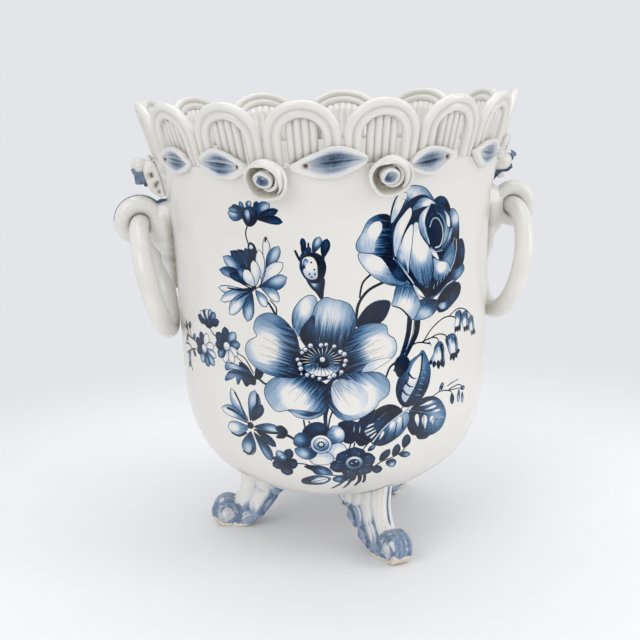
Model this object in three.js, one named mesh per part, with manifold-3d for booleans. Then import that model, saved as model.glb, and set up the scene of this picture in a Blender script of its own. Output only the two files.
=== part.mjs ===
// Glazed planter on three leaf feet, with a pierced gallery of coiled arches, a garland of
// modelled leaves and roses, and two ring handles held in strap loops.
// Millimetres, +Z up. The origin is on the ground under the pot's axis.
// Angles are in degrees round the pot, from its front (-Y) towards its right side (+X).

import * as THREE from 'three';
import { mergeVertices } from 'three/addons/utils/BufferGeometryUtils.js';
import Module from 'manifold-3d';

const wasm = await Module();
wasm.setup();

// Driving dimensions

const clearance = 0.3;
const roundSegments = 48;

// The bowl: a rounded bottom below the shoulder, a nearly straight wall above it, a flared rim
const bowlRadius = 82.3;
const footHeight = 27;
const bottomDepth = 73;
const bottomRoundness = 2.6;
const wallHeight = 110;
const wallTaper = 3.0;
const lipFlare = 6.8;
const lipSharpness = 6;
const wallThickness = 4.8;
const floorThickness = 6.5;
const floorLevelling = 0.9;

// The gallery: arches of a two-bead strap, each with a ribbed tongue behind its opening
const galleryHeight = 30;
const galleryLean = 17.5;
const archWidths = [22.6, 22.6, 22.6, 22.6, 22.6, 22.6, 22.6, 27, 29.5, 30.2, 30.2, 29.5, 28.5, 26.9];
const firstArchAngle = -82.8;
const beadRadius = 2.25;
const beadPitch = 4.2;
const beadWaist = 1.4;
const archGap = 0.5;
const crownRise = 16;
const crownSteps = 8;
const tongueRibPitch = 4.1;
const tongueThickness = 2.8;
const tongueGroove = 0.9;
const tongueSlit = 2.2;
const tongueRecess = 0.8;

// The garland: angles of the front half, repeated half a turn further on for the back,
// and heights above (rise) or below (drop) the rim
const leafAngles = [-61, -39.5, -8, 24, 48, 69];
const leafLengths = [28, 29, 38, 28, 27, 26];
const leafWidths = [14, 15, 15, 14.5, 14, 13.5];
const leafRises = [1.5, 0.5, 1, 0, 0.5, 0.5];
const leafTilts = [-4, -7, 3, 9, -6, 5];
const leafEdge = 2.6;
const leafCentre = 1.3;
const roseAngles = [-25.3, 9.3];
const roseDrop = 4.5;
const roseRadius = 10.8;
const roseHeight = 12.5;
const rosePetalWall = 1.3;
const roseTurns = 2.4;
const sprayAngles = [-90, 90];
const sprayDrop = 5.5;
const sprayBudRadius = 5.2;
const sprayPetalLength = 13.5;
const sprayPetals = 6;

// The handles: a ring through a tapering strap loop on each side
const ringRadius = 29.1;
const ringTube = 5.3;
const ringDrop = 33.5;
const ringTopReach = 15.6;
const ringTurn = 6;
const ringClearance = 0.45;
const ringSteps = 24;
const loopTopTube = 4.2;
const loopTipTube = 2.8;
const loopPadWidth = 14;
const loopPadHeight = 31;
const loopTailDrop = 17;

// The feet: curled leaves with a scroll at the toe, wider on the side away from the turned-up rib
const footCount = 3;
const frontFootAngle = 19;
const toeInset = 9.8;
const scrollRadius = 8.8;
const scrollHalfWidth = 6.6;
const padDepth = 0.6;
const footOuterInset = 24.8;
const footInnerInset = 55.3;
const footWaist = 2.4;
const footRootSink = 4;
const footBroadHalf = 16.5;
const footNarrowHalf = 12;
const footToeHalf = 6.4;
const footRibWidth = 8.5;
const footScallops = 3;
const footScallopDepth = 0.2;
const fluteDepth = 0.9;

const radians = THREE.MathUtils.degToRad;
const lean = radians(galleryLean);

// Levels that follow from the heights above
const bowlBottomZ = footHeight;
const shoulderZ = bowlBottomZ + bottomDepth;
const rimZ = shoulderZ + wallHeight;
const overallHeight = rimZ + galleryHeight;
const roseLevel = rimZ - roseDrop;
const sprayLevel = rimZ - sprayDrop;
const ringTopZ = rimZ - ringDrop;

// Surfaces of the bowl

function wallRadius(z) {
  if (z >= shoulderZ) {
    const up = (z - shoulderZ) / (rimZ - shoulderZ);
    return bowlRadius + wallTaper * up + lipFlare * up ** lipSharpness;
  }
  const down = Math.min(1, (shoulderZ - z) / (shoulderZ - bowlBottomZ));
  return bowlRadius * (1 - down ** bottomRoundness) ** (1 / bottomRoundness);
}

function undersideZ(radius) {
  const across = Math.min(1, radius / bowlRadius);
  const depth = (shoulderZ - bowlBottomZ) * (1 - across ** bottomRoundness) ** (1 / bottomRoundness);
  return shoulderZ - depth;
}

// The gallery stands on the middle of the rim and leans out along a cone
const galleryBaseZ = rimZ;
const galleryBaseRadius = wallRadius(rimZ) - wallThickness / 2;
const galleryRise = (overallHeight - beadRadius - galleryBaseZ) / Math.cos(lean);
const galleryMidRadius = galleryBaseRadius + (galleryRise / 2) * Math.sin(lean);
const strapHalfWidth = beadPitch / 2 + beadRadius;

// Outside of the wall below the rim, and of the gallery above it
function bandRadius(z) {
  if (z <= rimZ) return wallRadius(z);
  const gallery = galleryBaseRadius + (z - galleryBaseZ) * Math.tan(lean) + beadRadius / Math.cos(lean);
  return Math.max(gallery, wallRadius(rimZ));
}

function polar(radius, angle, z) {
  return new THREE.Vector3(radius * Math.sin(angle), -radius * Math.cos(angle), z);
}

// Geometry helpers

function signedVolume(points, faces) {
  let volume = 0;
  for (const [a, b, c] of faces) {
    volume += points[a].dot(new THREE.Vector3().crossVectors(points[b], points[c])) / 6;
  }
  return volume;
}

function closedGeometry(points, faces) {
  const outward = signedVolume(points, faces) > 0 ? faces : faces.map(([a, b, c]) => [a, c, b]);
  const geometry = new THREE.BufferGeometry();
  geometry.setAttribute('position', new THREE.Float32BufferAttribute(points.flatMap((p) => p.toArray()), 3));
  geometry.setIndex(outward.flat());
  return geometry;
}

// A closed skin over a row of rings with the same number of points, flat at both ends
function loft(rings, outline) {
  const count = rings[0].length;
  const faces = [];
  for (let i = 0; i + 1 < rings.length; i += 1) {
    for (let j = 0; j < count; j += 1) {
      const k = (j + 1) % count;
      faces.push([i * count + j, i * count + k, (i + 1) * count + k]);
      faces.push([i * count + j, (i + 1) * count + k, (i + 1) * count + j]);
    }
  }
  const last = (rings.length - 1) * count;
  const turned = THREE.ShapeUtils.isClockWise(outline);
  for (const [a, b, c] of THREE.ShapeUtils.triangulateShape(outline, [])) {
    const [p, q] = turned ? [c, b] : [b, c];
    faces.push([a, q, p], [last + a, last + p, last + q]);
  }
  return closedGeometry(rings.flat(), faces);
}

function solid(geometry) {
  const bare = geometry.clone();
  bare.deleteAttribute('normal');
  bare.deleteAttribute('uv');
  const merged = mergeVertices(bare, 1e-4);
  const mesh = new wasm.Mesh({
    numProp: 3,
    vertProperties: new Float32Array(merged.attributes.position.array),
    triVerts: new Uint32Array(merged.index.array),
  });
  return new wasm.Manifold(mesh);
}

function geometryOf(manifold) {
  const mesh = manifold.getMesh();
  const geometry = new THREE.BufferGeometry();
  geometry.setAttribute('position', new THREE.Float32BufferAttribute(mesh.vertProperties, 3));
  geometry.setIndex(Array.from(mesh.triVerts));
  geometry.computeVertexNormals();
  return geometry;
}

// A solid of revolution about +Z from [radius, z] pairs that go up the outside
function revolve(pairs, segments) {
  const profile = pairs.map(([radius, z]) => new THREE.Vector2(radius, z));
  return new THREE.LatheGeometry(profile, segments).rotateX(Math.PI / 2);
}

// The bowl

function superellipse(radius, bottomZ, steps) {
  const pairs = [];
  for (let i = 0; i <= steps; i += 1) {
    const t = (i / steps) * (Math.PI / 2);
    const r = radius * Math.sin(t) ** (2 / bottomRoundness);
    const z = shoulderZ - (shoulderZ - bottomZ) * Math.cos(t) ** (2 / bottomRoundness);
    pairs.push([r, z]);
  }
  return pairs;
}

const wallSteps = [0.4, 0.7, 0.86, 0.94, 1];
const wallHeights = wallSteps.map((share) => shoulderZ + share * (rimZ - shoulderZ));

function outerProfile(offset) {
  const bottom = superellipse(bowlRadius + offset, bowlBottomZ - offset, 7);
  const wall = wallHeights.map((z) => [wallRadius(z) + offset, z]);
  return [...bottom, ...wall];
}

// The rim's top is square to the gallery's lean
function bowl() {
  const rimDrop = (wallThickness / 2) * Math.tan(lean);
  const outer = outerProfile(0);
  outer[outer.length - 1][1] -= rimDrop;
  const innerBottom = superellipse(bowlRadius - wallThickness, bowlBottomZ + floorThickness, 6);
  const floorZ = bowlBottomZ + floorThickness + floorLevelling;
  const innerWall = wallHeights.map((z) => [wallRadius(z) - wallThickness, z]);
  innerWall[innerWall.length - 1][1] += rimDrop;
  const inside = [...innerBottom, ...innerWall].filter(([, z]) => z > floorZ + clearance);
  const floorEdge = (bowlRadius - wallThickness) * levelShare(floorZ);
  const pairs = [...outer, ...inside.reverse(), [floorEdge, floorZ], [0, floorZ]];
  return solid(revolve(pairs, roundSegments));
}

// How far out the inner floor stays level, as a share of the inner radius
function levelShare(floorZ) {
  const depth = (shoulderZ - floorZ) / (shoulderZ - bowlBottomZ - floorThickness);
  return (1 - depth ** bottomRoundness) ** (1 / bottomRoundness);
}

// What a piece on the outside must stay clear of: the bowl and the gallery's cone
function keepOut() {
  const offset = clearance / Math.cos(Math.PI / roundSegments);
  const top = overallHeight + 10;
  const pairs = [...outerProfile(offset), [bandRadius(rimZ + 1) + offset, rimZ + 1]];
  pairs.push([bandRadius(top) + offset, top], [0, top]);
  return solid(revolve(pairs, roundSegments));
}

// The gallery

function galleryPoint(angle, x, h, n) {
  const radius = galleryBaseRadius + h * Math.sin(lean) + n * Math.cos(lean);
  const z = galleryBaseZ + h * Math.cos(lean) - n * Math.sin(lean);
  return polar(radius, angle + x / galleryMidRadius, z);
}

// Two round beads side by side, as [across, out] pairs
function strapSection() {
  const pairs = [];
  for (const degrees of [62, 20, -20, -62]) {
    const turn = radians(degrees);
    pairs.push([beadPitch / 2 + beadRadius * Math.cos(turn), beadRadius * Math.sin(turn)]);
  }
  pairs.push([0, -beadWaist]);
  const left = pairs.slice(0, 4).map(([a, b]) => [-a, b]).reverse();
  return [...pairs, ...left, [0, beadWaist]];
}

function archPath(halfWidth) {
  const across = halfWidth - strapHalfWidth;
  const rise = galleryRise - beadPitch / 2 - clearance;
  const crown = Math.min(across, crownRise);
  const path = [{ x: -across, h: clearance, ax: -1, ah: 0 }];
  for (let i = 0; i <= crownSteps; i += 1) {
    const t = Math.PI * (1 - i / crownSteps);
    const normal = new THREE.Vector2(Math.cos(t) / across, Math.sin(t) / crown).normalize();
    const x = across * Math.cos(t);
    const h = clearance + rise - crown + crown * Math.sin(t);
    path.push({ x, h, ax: normal.x, ah: normal.y });
  }
  path.push({ x: across, h: clearance, ax: 1, ah: 0 });
  return path;
}

function arch(angle, halfWidth) {
  const section = strapSection();
  const rings = archPath(halfWidth).map(({ x, h, ax, ah }) =>
    section.map(([a, n]) => galleryPoint(angle, x + ax * a, h + ah * a, n)));
  return solid(loft(rings, section.map(([a, n]) => new THREE.Vector2(a, n))));
}

// The height of the opening at a place across it, up to the underside of the crown
function openingHeight(halfWidth, x) {
  const across = halfWidth - strapHalfWidth;
  const crown = Math.min(across, crownRise);
  const share = Math.min(1, Math.abs(x) / (across - strapHalfWidth));
  const springing = galleryRise - beadPitch / 2 - crown;
  return springing + (crown - strapHalfWidth) * Math.sqrt(1 - share * share);
}

// A ribbed slab that stands between an arch's legs, set back, with its top under the crown
function tongue(angle, halfWidth) {
  const width = 2 * (halfWidth - 2 * strapHalfWidth - tongueSlit);
  const count = Math.max(2, Math.round(width / tongueRibPitch));
  const pitch = width / count;
  const front = tongueThickness / 2 - tongueRecess;
  const back = front - tongueThickness;
  const cuts = [[-width / 2, tongueGroove / 2]];
  for (let i = 0; i < count; i += 1) {
    const middle = (i + 0.5) * pitch - width / 2;
    cuts.push([middle - pitch * 0.27, 0], [middle + pitch * 0.27, 0]);
    if (i + 1 < count) cuts.push([middle + pitch / 2, tongueGroove]);
  }
  cuts.push([width / 2, tongueGroove / 2]);
  const rings = cuts.map(([x, groove]) => {
    const top = openingHeight(halfWidth, x) - clearance;
    const corners = [[clearance, back], [clearance, front - groove], [top, front - groove], [top, back]];
    return corners.map(([h, n]) => galleryPoint(angle, x, h, n));
  });
  const outline = [[0, 0], [1, 0], [1, 1], [0, 1]].map(([u, v]) => new THREE.Vector2(u, v));
  return solid(loft(rings, outline));
}

function galleryPlan() {
  const total = archWidths.reduce((sum, width) => sum + width, 0);
  let edge = firstArchAngle - (archWidths[0] / total) * 180;
  return archWidths.map((width) => {
    const span = (width / total) * 360;
    const angle = radians(edge + span / 2);
    edge += span;
    return { angle, halfWidth: (galleryMidRadius * radians(span)) / 2 - archGap / 2 };
  });
}

// The garland

// A point beside a centre on the band: x along the rim, y up, n out from the surface
function bandPoint(angle, level, x, y, n) {
  const z = level + y;
  const radius = bandRadius(z) + clearance * 1.5 + n;
  return polar(radius, angle + x / bandRadius(level), z);
}

function leaf({ angle, length, width, level, tilt }) {
  const stations = [0.02, 0.18, 0.38, 0.6, 0.82, 0.98];
  const profile = [[-1, 0], [0, 0], [1, 0], [1, 0.75], [0.55, 0.8], [0, 0.45], [-0.55, 0.8], [-1, 0.75]];
  const turn = radians(tilt);
  const rings = stations.map((share) => {
    const along = (share - 0.5) * length;
    const half = (width / 2) * Math.sin(Math.PI * share ** 1.15) ** 0.75;
    return profile.map(([side, height]) => {
      const x = along * Math.cos(turn) - side * half * Math.sin(turn);
      const y = along * Math.sin(turn) + side * half * Math.cos(turn);
      const lift = height === 0 ? 0 : leafCentre + (leafEdge - leafCentre) * (height - 0.45) / 0.35;
      return bandPoint(radians(angle), level, x, y, lift);
    });
  });
  return solid(loft(rings, profile.map(([a, b]) => new THREE.Vector2(a, b))));
}

// Places what was modelled about +Z, base at z = 0, on the band with its axis facing out
function seatOnBand(geometry, angle, level, reach) {
  const low = new THREE.Vector2(bandRadius(level - reach), level - reach);
  const high = new THREE.Vector2(bandRadius(level + reach), level + reach);
  const slope = Math.atan2(high.x - low.x, high.y - low.y);
  const middle = (low.x + high.x) / 2;
  const seat = polar(middle, radians(angle), level);
  const matrix = new THREE.Matrix4().makeTranslation(seat.x, seat.y, seat.z);
  matrix.multiply(new THREE.Matrix4().makeRotationZ(radians(angle)));
  matrix.multiply(new THREE.Matrix4().makeRotationX(Math.PI / 2 + slope));
  return geometry.clone().applyMatrix4(matrix);
}

// A rolled clay strip: its wall winds outwards, lower and more open towards the last petal
function roseSpiral() {
  const steps = Math.round(roseTurns * 7.5);
  const outline = [[0, 0], [1, 0], [1, 1], [0, 1]];
  const rings = [];
  for (let i = 0; i <= steps; i += 1) {
    const share = i / steps;
    const turn = share * roseTurns * 2 * Math.PI;
    const wave = 0.5 * share * Math.sin(turn * 2.5);
    const spread = Math.min(1, share * 1.18);
    const foot = 0.9 + spread * (roseRadius * 0.62 - 0.9);
    const open = 1.1 + spread ** 1.2 * (roseRadius - 1.6) + wave;
    const top = roseHeight * (1 - 0.34 * spread) + wave;
    rings.push(outline.map(([side, height]) => {
      const radius = (height ? open : foot) - side * rosePetalWall * (height ? 0.75 : 1);
      const z = height ? top : roseHeight * 0.12;
      return new THREE.Vector3(Math.max(0.15, radius) * Math.cos(turn), Math.max(0.15, radius) * Math.sin(turn), z);
    }));
  }
  return loft(rings, outline.map(([a, b]) => new THREE.Vector2(a, b)));
}

function roseCup() {
  const rim = roseRadius * 0.62;
  const height = roseHeight * 0.26;
  return revolve([[0, -1.5], [rim * 0.85, -1.5], [rim, height], [0, height]], 10);
}

function rose(angle, blocked) {
  const spiral = solid(seatOnBand(roseSpiral(), angle, roseLevel, roseRadius));
  const cup = solid(seatOnBand(roseCup(), angle, roseLevel, roseRadius));
  return spiral.add(cup).subtract(blocked);
}

function roseRoom(angle) {
  const radius = roseRadius + clearance;
  const column = revolve([[0, -6], [radius * 0.7, -6], [radius, roseHeight], [0, roseHeight]], 20);
  return solid(seatOnBand(column, angle, roseLevel, roseRadius));
}

// One pointed petal that rises from the bud's foot and curls over at its tip
function sprayPetal(turn, length) {
  const stations = [0, 0.35, 0.7, 1];
  const outline = [[-1, 0], [0, -1], [1, 0], [0, 1]];
  const rings = stations.map((share) => {
    const out = 2 + share * length * 0.9;
    const up = 1.6 + length * 0.42 * Math.sin(share * 2.3);
    const half = 3.1 * Math.sin(Math.PI * (0.22 + 0.76 * share)) + 0.25;
    return outline.map(([side, face]) => {
      const point = new THREE.Vector3(out, side * half, up + face * (0.9 - 0.35 * share) + Math.abs(side) * 0.8);
      return point.applyAxisAngle(new THREE.Vector3(0, 0, 1), turn);
    });
  });
  return loft(rings, outline.map(([a, b]) => new THREE.Vector2(a, b)));
}

function spray(angle, blocked) {
  const bud = new THREE.SphereGeometry(sprayBudRadius, 8, 6).rotateX(Math.PI / 2);
  bud.scale(1, 1, 1.35).translate(0, 0, sprayBudRadius * 0.95);
  let whole = solid(seatOnBand(bud, angle, sprayLevel, roseRadius));
  for (let i = 0; i < sprayPetals; i += 1) {
    const turn = ((i + 0.5) / sprayPetals) * 2 * Math.PI;
    const length = sprayPetalLength * (i % 2 ? 0.78 : 1);
    whole = whole.add(solid(seatOnBand(sprayPetal(turn, length), angle, sprayLevel, roseRadius)));
  }
  return whole.subtract(blocked);
}

function sprayRoom(angle) {
  const radius = sprayPetalLength + 2.2;
  const column = revolve([[0, -6], [radius, -6], [radius, 12], [0, 12]], 16);
  return solid(seatOnBand(column, angle, sprayLevel, roseRadius));
}

// The handles, modelled at the +X side: x out from the wall, y along it

const ringTopX = wallRadius(ringTopZ) + ringTopReach;

function ringMatrix(tilt) {
  const matrix = new THREE.Matrix4().makeTranslation(ringTopX, 0, ringTopZ);
  matrix.multiply(new THREE.Matrix4().makeRotationZ(radians(ringTurn)));
  matrix.multiply(new THREE.Matrix4().makeRotationY(tilt));
  return matrix.multiply(new THREE.Matrix4().makeTranslation(0, 0, -ringRadius));
}

function ringGap(tilt) {
  const matrix = ringMatrix(tilt);
  let least = Infinity;
  for (let i = 0; i < 72; i += 1) {
    const turn = (i / 72) * 2 * Math.PI;
    const point = new THREE.Vector3(0, ringRadius * Math.cos(turn), ringRadius * Math.sin(turn));
    point.applyMatrix4(matrix);
    least = Math.min(least, Math.hypot(point.x, point.y) - wallRadius(point.z) - ringTube);
  }
  return least;
}

// The ring leans in until its foot rests against the wall
function restingTilt() {
  let free = 0;
  let touching = radians(40);
  for (let i = 0; i < 30; i += 1) {
    const middle = (free + touching) / 2;
    if (ringGap(middle) > clearance) free = middle;
    else touching = middle;
  }
  return free;
}

const ringTilt = restingTilt();

function ring(tube, around, sides) {
  const torus = new THREE.TorusGeometry(ringRadius, tube, sides, around).rotateY(Math.PI / 2);
  return solid(torus.applyMatrix4(ringMatrix(ringTilt)));
}

// A strap that leaves the wall above the ring, goes over it and tapers as it returns below
function loopStrap() {
  const rings = [];
  const steps = 12;
  const sides = 8;
  for (let i = 0; i < steps; i += 1) {
    const turn = (i / steps) * 2 * Math.PI;
    const slim = 0.5 - 0.5 * Math.cos(turn - radians(150));
    const tube = loopTipTube + (loopTopTube - loopTipTube) * (1 - slim) ** 0.7;
    const radius = ringTube + ringClearance + tube;
    const middle = new THREE.Vector3(ringTopX - Math.cos(turn) * radius, 0, ringTopZ + Math.sin(turn) * radius);
    rings.push(Array.from({ length: sides }, (_, k) => {
      const side = (k / sides) * 2 * Math.PI;
      const out = tube * Math.cos(side);
      const point = middle.clone();
      point.x -= Math.cos(turn) * out;
      point.z += Math.sin(turn) * out;
      point.y += tube * 1.25 * Math.sin(side);
      return point;
    }));
  }
  const points = rings.flat();
  const faces = [];
  for (let i = 0; i < steps; i += 1) {
    for (let j = 0; j < sides; j += 1) {
      const a = i * sides + j;
      const b = i * sides + ((j + 1) % sides);
      const c = ((i + 1) % steps) * sides + ((j + 1) % sides);
      const d = ((i + 1) % steps) * sides + j;
      faces.push([a, b, c], [a, c, d]);
    }
  }
  return closedGeometry(points, faces);
}

// The strap's two ends, pressed together on the wall and drawn down to a point
function loopPad() {
  const topZ = ringTopZ + ringTube + loopTopTube * 1.6;
  const lowZ = topZ - loopPadHeight - loopTailDrop;
  const stations = [[0, 0.35], [0.08, 0.75], [0.25, 1], [0.5, 0.95], [0.66, 0.7], [0.85, 0.42], [1, 0.12]];
  const outline = Array.from({ length: 8 }, (_, k) => {
    const side = (k / 8) * 2 * Math.PI;
    return [Math.cos(side), Math.sin(side)];
  });
  const depth = ringTopReach - ringTube - ringClearance + 1;
  const rings = stations.map(([share, size]) => {
    const z = topZ + (lowZ - topZ) * share;
    const thick = depth * Math.min(1, size * (share > 0.6 ? 0.62 : 1));
    return outline.map(([a, b]) =>
      new THREE.Vector3(wallRadius(z) + a * thick, (b * size * loopPadWidth) / 2, z));
  });
  return loft(rings, outline.map(([a, b]) => new THREE.Vector2(a, b)));
}

function loop(blocked) {
  const room = ring(ringTube + ringClearance, ringSteps, 10);
  return solid(loopStrap()).add(solid(loopPad())).subtract(room).subtract(blocked);
}

// The feet, modelled pointing along +X: x out from the axis, y across

const footOuterRoot = bowlRadius - footOuterInset;
const footInnerRoot = bowlRadius - footInnerInset;
const scrollX = bowlRadius - toeInset - scrollRadius;
const scrollZ = scrollRadius - padDepth;

function footLines() {
  const outerZ = undersideZ(footOuterRoot) + footRootSink;
  const innerZ = undersideZ(footInnerRoot) + footRootSink;
  const front = [
    [footOuterRoot + footWaist * 0.4, outerZ],
    [footOuterRoot - footWaist * 0.85, outerZ * 0.74],
    [footOuterRoot - footWaist, outerZ * 0.58],
    [footOuterRoot - footWaist * 0.25, outerZ * 0.44],
    [scrollX - scrollRadius * 0.23, scrollZ + scrollRadius * 0.62],
    [scrollX + scrollRadius * 0.11, scrollZ + scrollRadius * 0.5],
  ];
  const span = scrollX - footInnerRoot;
  const back = [
    [footInnerRoot - span * 0.05, innerZ],
    [footInnerRoot + span * 0.08, innerZ * 0.72],
    [footInnerRoot + span * 0.23, innerZ * 0.46],
    [footInnerRoot + span * 0.41, innerZ * 0.22],
    [scrollX - scrollRadius * 1.5, 0.6],
    [scrollX - scrollRadius * 0.4, -1.5],
  ];
  const curve = (pairs) => new THREE.CatmullRomCurve3(pairs.map(([x, z]) => new THREE.Vector3(x, 0, z)));
  return { front: curve(front), back: curve(back) };
}

// A leaf section: a raised rib in front, fluted sides that spread towards the back edges
function footSection(share) {
  const lobe = Math.abs(Math.sin(Math.PI * footScallops * share));
  const scallop = 1 - footScallopDepth + footScallopDepth * lobe;
  const rib = footRibWidth / 2;
  const flank = (rootHalf) => {
    const half = (rootHalf + (footToeHalf - rootHalf) * share) * scallop;
    const side = [[1, rib * 0.55], [0.92, rib], [0.8, rib * 0.9]];
    for (const [depth, flute] of [[0.6, 1], [0.42, -1], [0.24, 1]]) {
      side.push([depth, rib + (half - rib) * (1 - depth) ** 0.8 + flute * fluteDepth * 0.5]);
    }
    return [...side, [0.03, half]];
  };
  const narrow = flank(footNarrowHalf);
  const broad = flank(footBroadHalf).map(([depth, width]) => [depth, -width]).reverse();
  return [...narrow, [0.12, 0], ...broad];
}

function footLeaf() {
  const { front, back } = footLines();
  const stations = 11;
  const rings = [];
  for (let i = 0; i < stations; i += 1) {
    const share = i / (stations - 1);
    const outer = front.getPoint(share);
    const inner = back.getPoint(share);
    rings.push(footSection(share).map(([depth, width]) => {
      const point = inner.clone().lerp(outer, depth);
      point.y = width;
      return point;
    }));
  }
  return loft(rings, footSection(0).map(([a, b]) => new THREE.Vector2(a, b)));
}

// The toe's roll, with a sunk turn and a raised eye at each end
function footScroll() {
  const r = scrollRadius;
  const w = scrollHalfWidth;
  const half = [[r * 0.34, w], [r * 0.46, w * 0.84], [r * 0.78, w], [r, w * 0.6]];
  const lower = half.map(([radius, z]) => [radius, -z]);
  const pairs = [[0, -w], ...lower, ...half.reverse(), [0, w]];
  const roll = revolve(pairs, 12);
  return roll.rotateX(Math.PI / 2).translate(scrollX, 0, scrollZ);
}

function groundBlock() {
  const size = 400;
  return solid(new THREE.BoxGeometry(size, size, size).translate(0, 0, -size / 2));
}

function foot(angle, blocked) {
  const whole = solid(footLeaf()).add(solid(footScroll())).subtract(groundBlock());
  const turn = new THREE.Matrix4().makeRotationZ(radians(angle) - Math.PI / 2);
  return solid(geometryOf(whole).applyMatrix4(turn)).subtract(blocked);
}

// The assembly

const glaze = { color: 0xeeeeea, roughness: 0.18, metalness: 0 };
const paintedGlaze = { color: 0xb9c0cb, roughness: 0.2, metalness: 0 };
const footGlaze = { color: 0xc9cdd2, roughness: 0.24, metalness: 0 };

const planter = new THREE.Group();

function addPiece(name, manifold, look) {
  const mesh = new THREE.Mesh(geometryOf(manifold), new THREE.MeshStandardMaterial(look));
  mesh.name = name;
  planter.add(mesh);
  return mesh;
}

const letters = 'abcdefghijklmnopqrstuvwxyz';
const blocked = keepOut();

addPiece('bowl', bowl(), glaze);

galleryPlan().forEach(({ angle, halfWidth }, i) => {
  addPiece(`gallery_arch_${letters[i]}`, arch(angle, halfWidth), glaze);
  addPiece(`gallery_tongue_${letters[i]}`, tongue(angle, halfWidth), glaze);
});

const halves = [{ side: 'front', turn: 0 }, { side: 'back', turn: 180 }];
const flowerRooms = [];
for (const { side, turn } of halves) {
  roseAngles.forEach((angle, i) => {
    addPiece(`rose_${side}_${i + 1}`, rose(angle + turn, blocked), paintedGlaze);
    flowerRooms.push(roseRoom(angle + turn));
  });
}
sprayAngles.forEach((angle, i) => {
  addPiece(`spray_${['left', 'right'][i]}`, spray(angle, blocked), paintedGlaze);
  flowerRooms.push(sprayRoom(angle));
});

for (const { side, turn } of halves) {
  leafAngles.forEach((angle, i) => {
    const level = rimZ + leafRises[i];
    const shape = { length: leafLengths[i], width: leafWidths[i], level, tilt: leafTilts[i] };
    let piece = leaf({ angle: angle + turn, ...shape });
    for (const room of flowerRooms) piece = piece.subtract(room);
    addPiece(`leaf_${side}_${i + 1}`, piece, paintedGlaze);
  });
}

const mirrorX = new THREE.Matrix4().makeScale(-1, 1, 1);

function mirrored(manifold) {
  const geometry = geometryOf(manifold).applyMatrix4(mirrorX);
  const index = geometry.index.array;
  const points = geometry.attributes.position;
  const vertices = Array.from({ length: points.count }, (_, i) => new THREE.Vector3().fromBufferAttribute(points, i));
  const faces = Array.from({ length: index.length / 3 }, (_, i) => Array.from(index.slice(3 * i, 3 * i + 3)));
  return solid(closedGeometry(vertices, faces));
}

const rightLoop = loop(blocked);
const rightRing = ring(ringTube, ringSteps, 8);
addPiece('handle_loop_right', rightLoop, glaze);
addPiece('handle_ring_right', rightRing, glaze);
addPiece('handle_loop_left', mirrored(rightLoop), glaze);
addPiece('handle_ring_left', mirrored(rightRing), glaze);

for (let i = 0; i < footCount; i += 1) {
  const angle = frontFootAngle + (i * 360) / footCount;
  addPiece(`foot_${letters[i]}`, foot(angle, blocked), footGlaze);
}

export default planter;
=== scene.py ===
# A glazed planter on three leaf feet: a printed bowl, a pierced gallery of coiled arches,
# a garland of modelled leaves and roses, and two ring handles in strap loops.
# Sizes are in millimetres and become metres in mm(). Angles go round from the front (-Y) to +X.

import math

import bmesh
import bpy
from mathutils import Matrix, Vector, noise
from mathutils.geometry import delaunay_2d_cdt


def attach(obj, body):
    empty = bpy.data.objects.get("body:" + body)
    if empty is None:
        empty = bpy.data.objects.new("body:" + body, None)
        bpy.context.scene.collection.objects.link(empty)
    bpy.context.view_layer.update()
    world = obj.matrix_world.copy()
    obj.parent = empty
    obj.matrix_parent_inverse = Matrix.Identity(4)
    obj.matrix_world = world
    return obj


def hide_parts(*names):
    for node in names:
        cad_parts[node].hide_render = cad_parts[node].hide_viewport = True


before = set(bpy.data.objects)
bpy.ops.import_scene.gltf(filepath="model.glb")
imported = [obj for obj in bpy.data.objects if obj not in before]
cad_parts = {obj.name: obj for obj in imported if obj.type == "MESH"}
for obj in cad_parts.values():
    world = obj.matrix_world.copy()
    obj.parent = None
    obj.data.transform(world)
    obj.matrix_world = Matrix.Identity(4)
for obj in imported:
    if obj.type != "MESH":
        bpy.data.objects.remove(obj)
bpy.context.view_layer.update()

METRES = 0.001
JOIN_DISTANCE = 6e-6

# The bowl, as the solids have it
BOWL_RADIUS = 82.3
BOWL_BOTTOM_Z = 27.0
SHOULDER_Z = 100.0
BOTTOM_ROUNDNESS = 2.6
RIM_Z = 210.0
WALL_TAPER = 3.0
LIP_FLARE = 6.8
LIP_SHARPNESS = 6
WALL = 4.8
FLOOR = 6.5
RIM_ROUNDING = 0.3
WALL_SINK = 0.3  # the pieces on the wall sit this far in it

# The gallery
OVERALL_HEIGHT = 240.0
GALLERY_LEAN = math.radians(17.5)
ARCH_WIDTHS = [22.6] * 7 + [27, 29.5, 30.2, 30.2, 29.5, 28.5, 26.9]
FIRST_ARCH_ANGLE = -82.8
BEAD_RADIUS = 2.25
BEAD_PITCH = 4.2
ARCH_GAP = 0.5
CROWN_RISE = 16.0
TONGUE_RIB_PITCH = 4.1
TONGUE_THICKNESS = 2.8
TONGUE_GROOVE = 0.9
TONGUE_SLIT = 2.2
TONGUE_RECESS = 0.8
TONGUE_FOOT = -0.6  # where tongues and arches begin, under the rim's middle
ARCH_FOOT = -0.9
# Painted shade in the grooves of the tongues and between the arches' coils
TONGUE_GROOVE_SHADE = 0.5
ARCH_GROOVE_SHADE = 0.16

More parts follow.
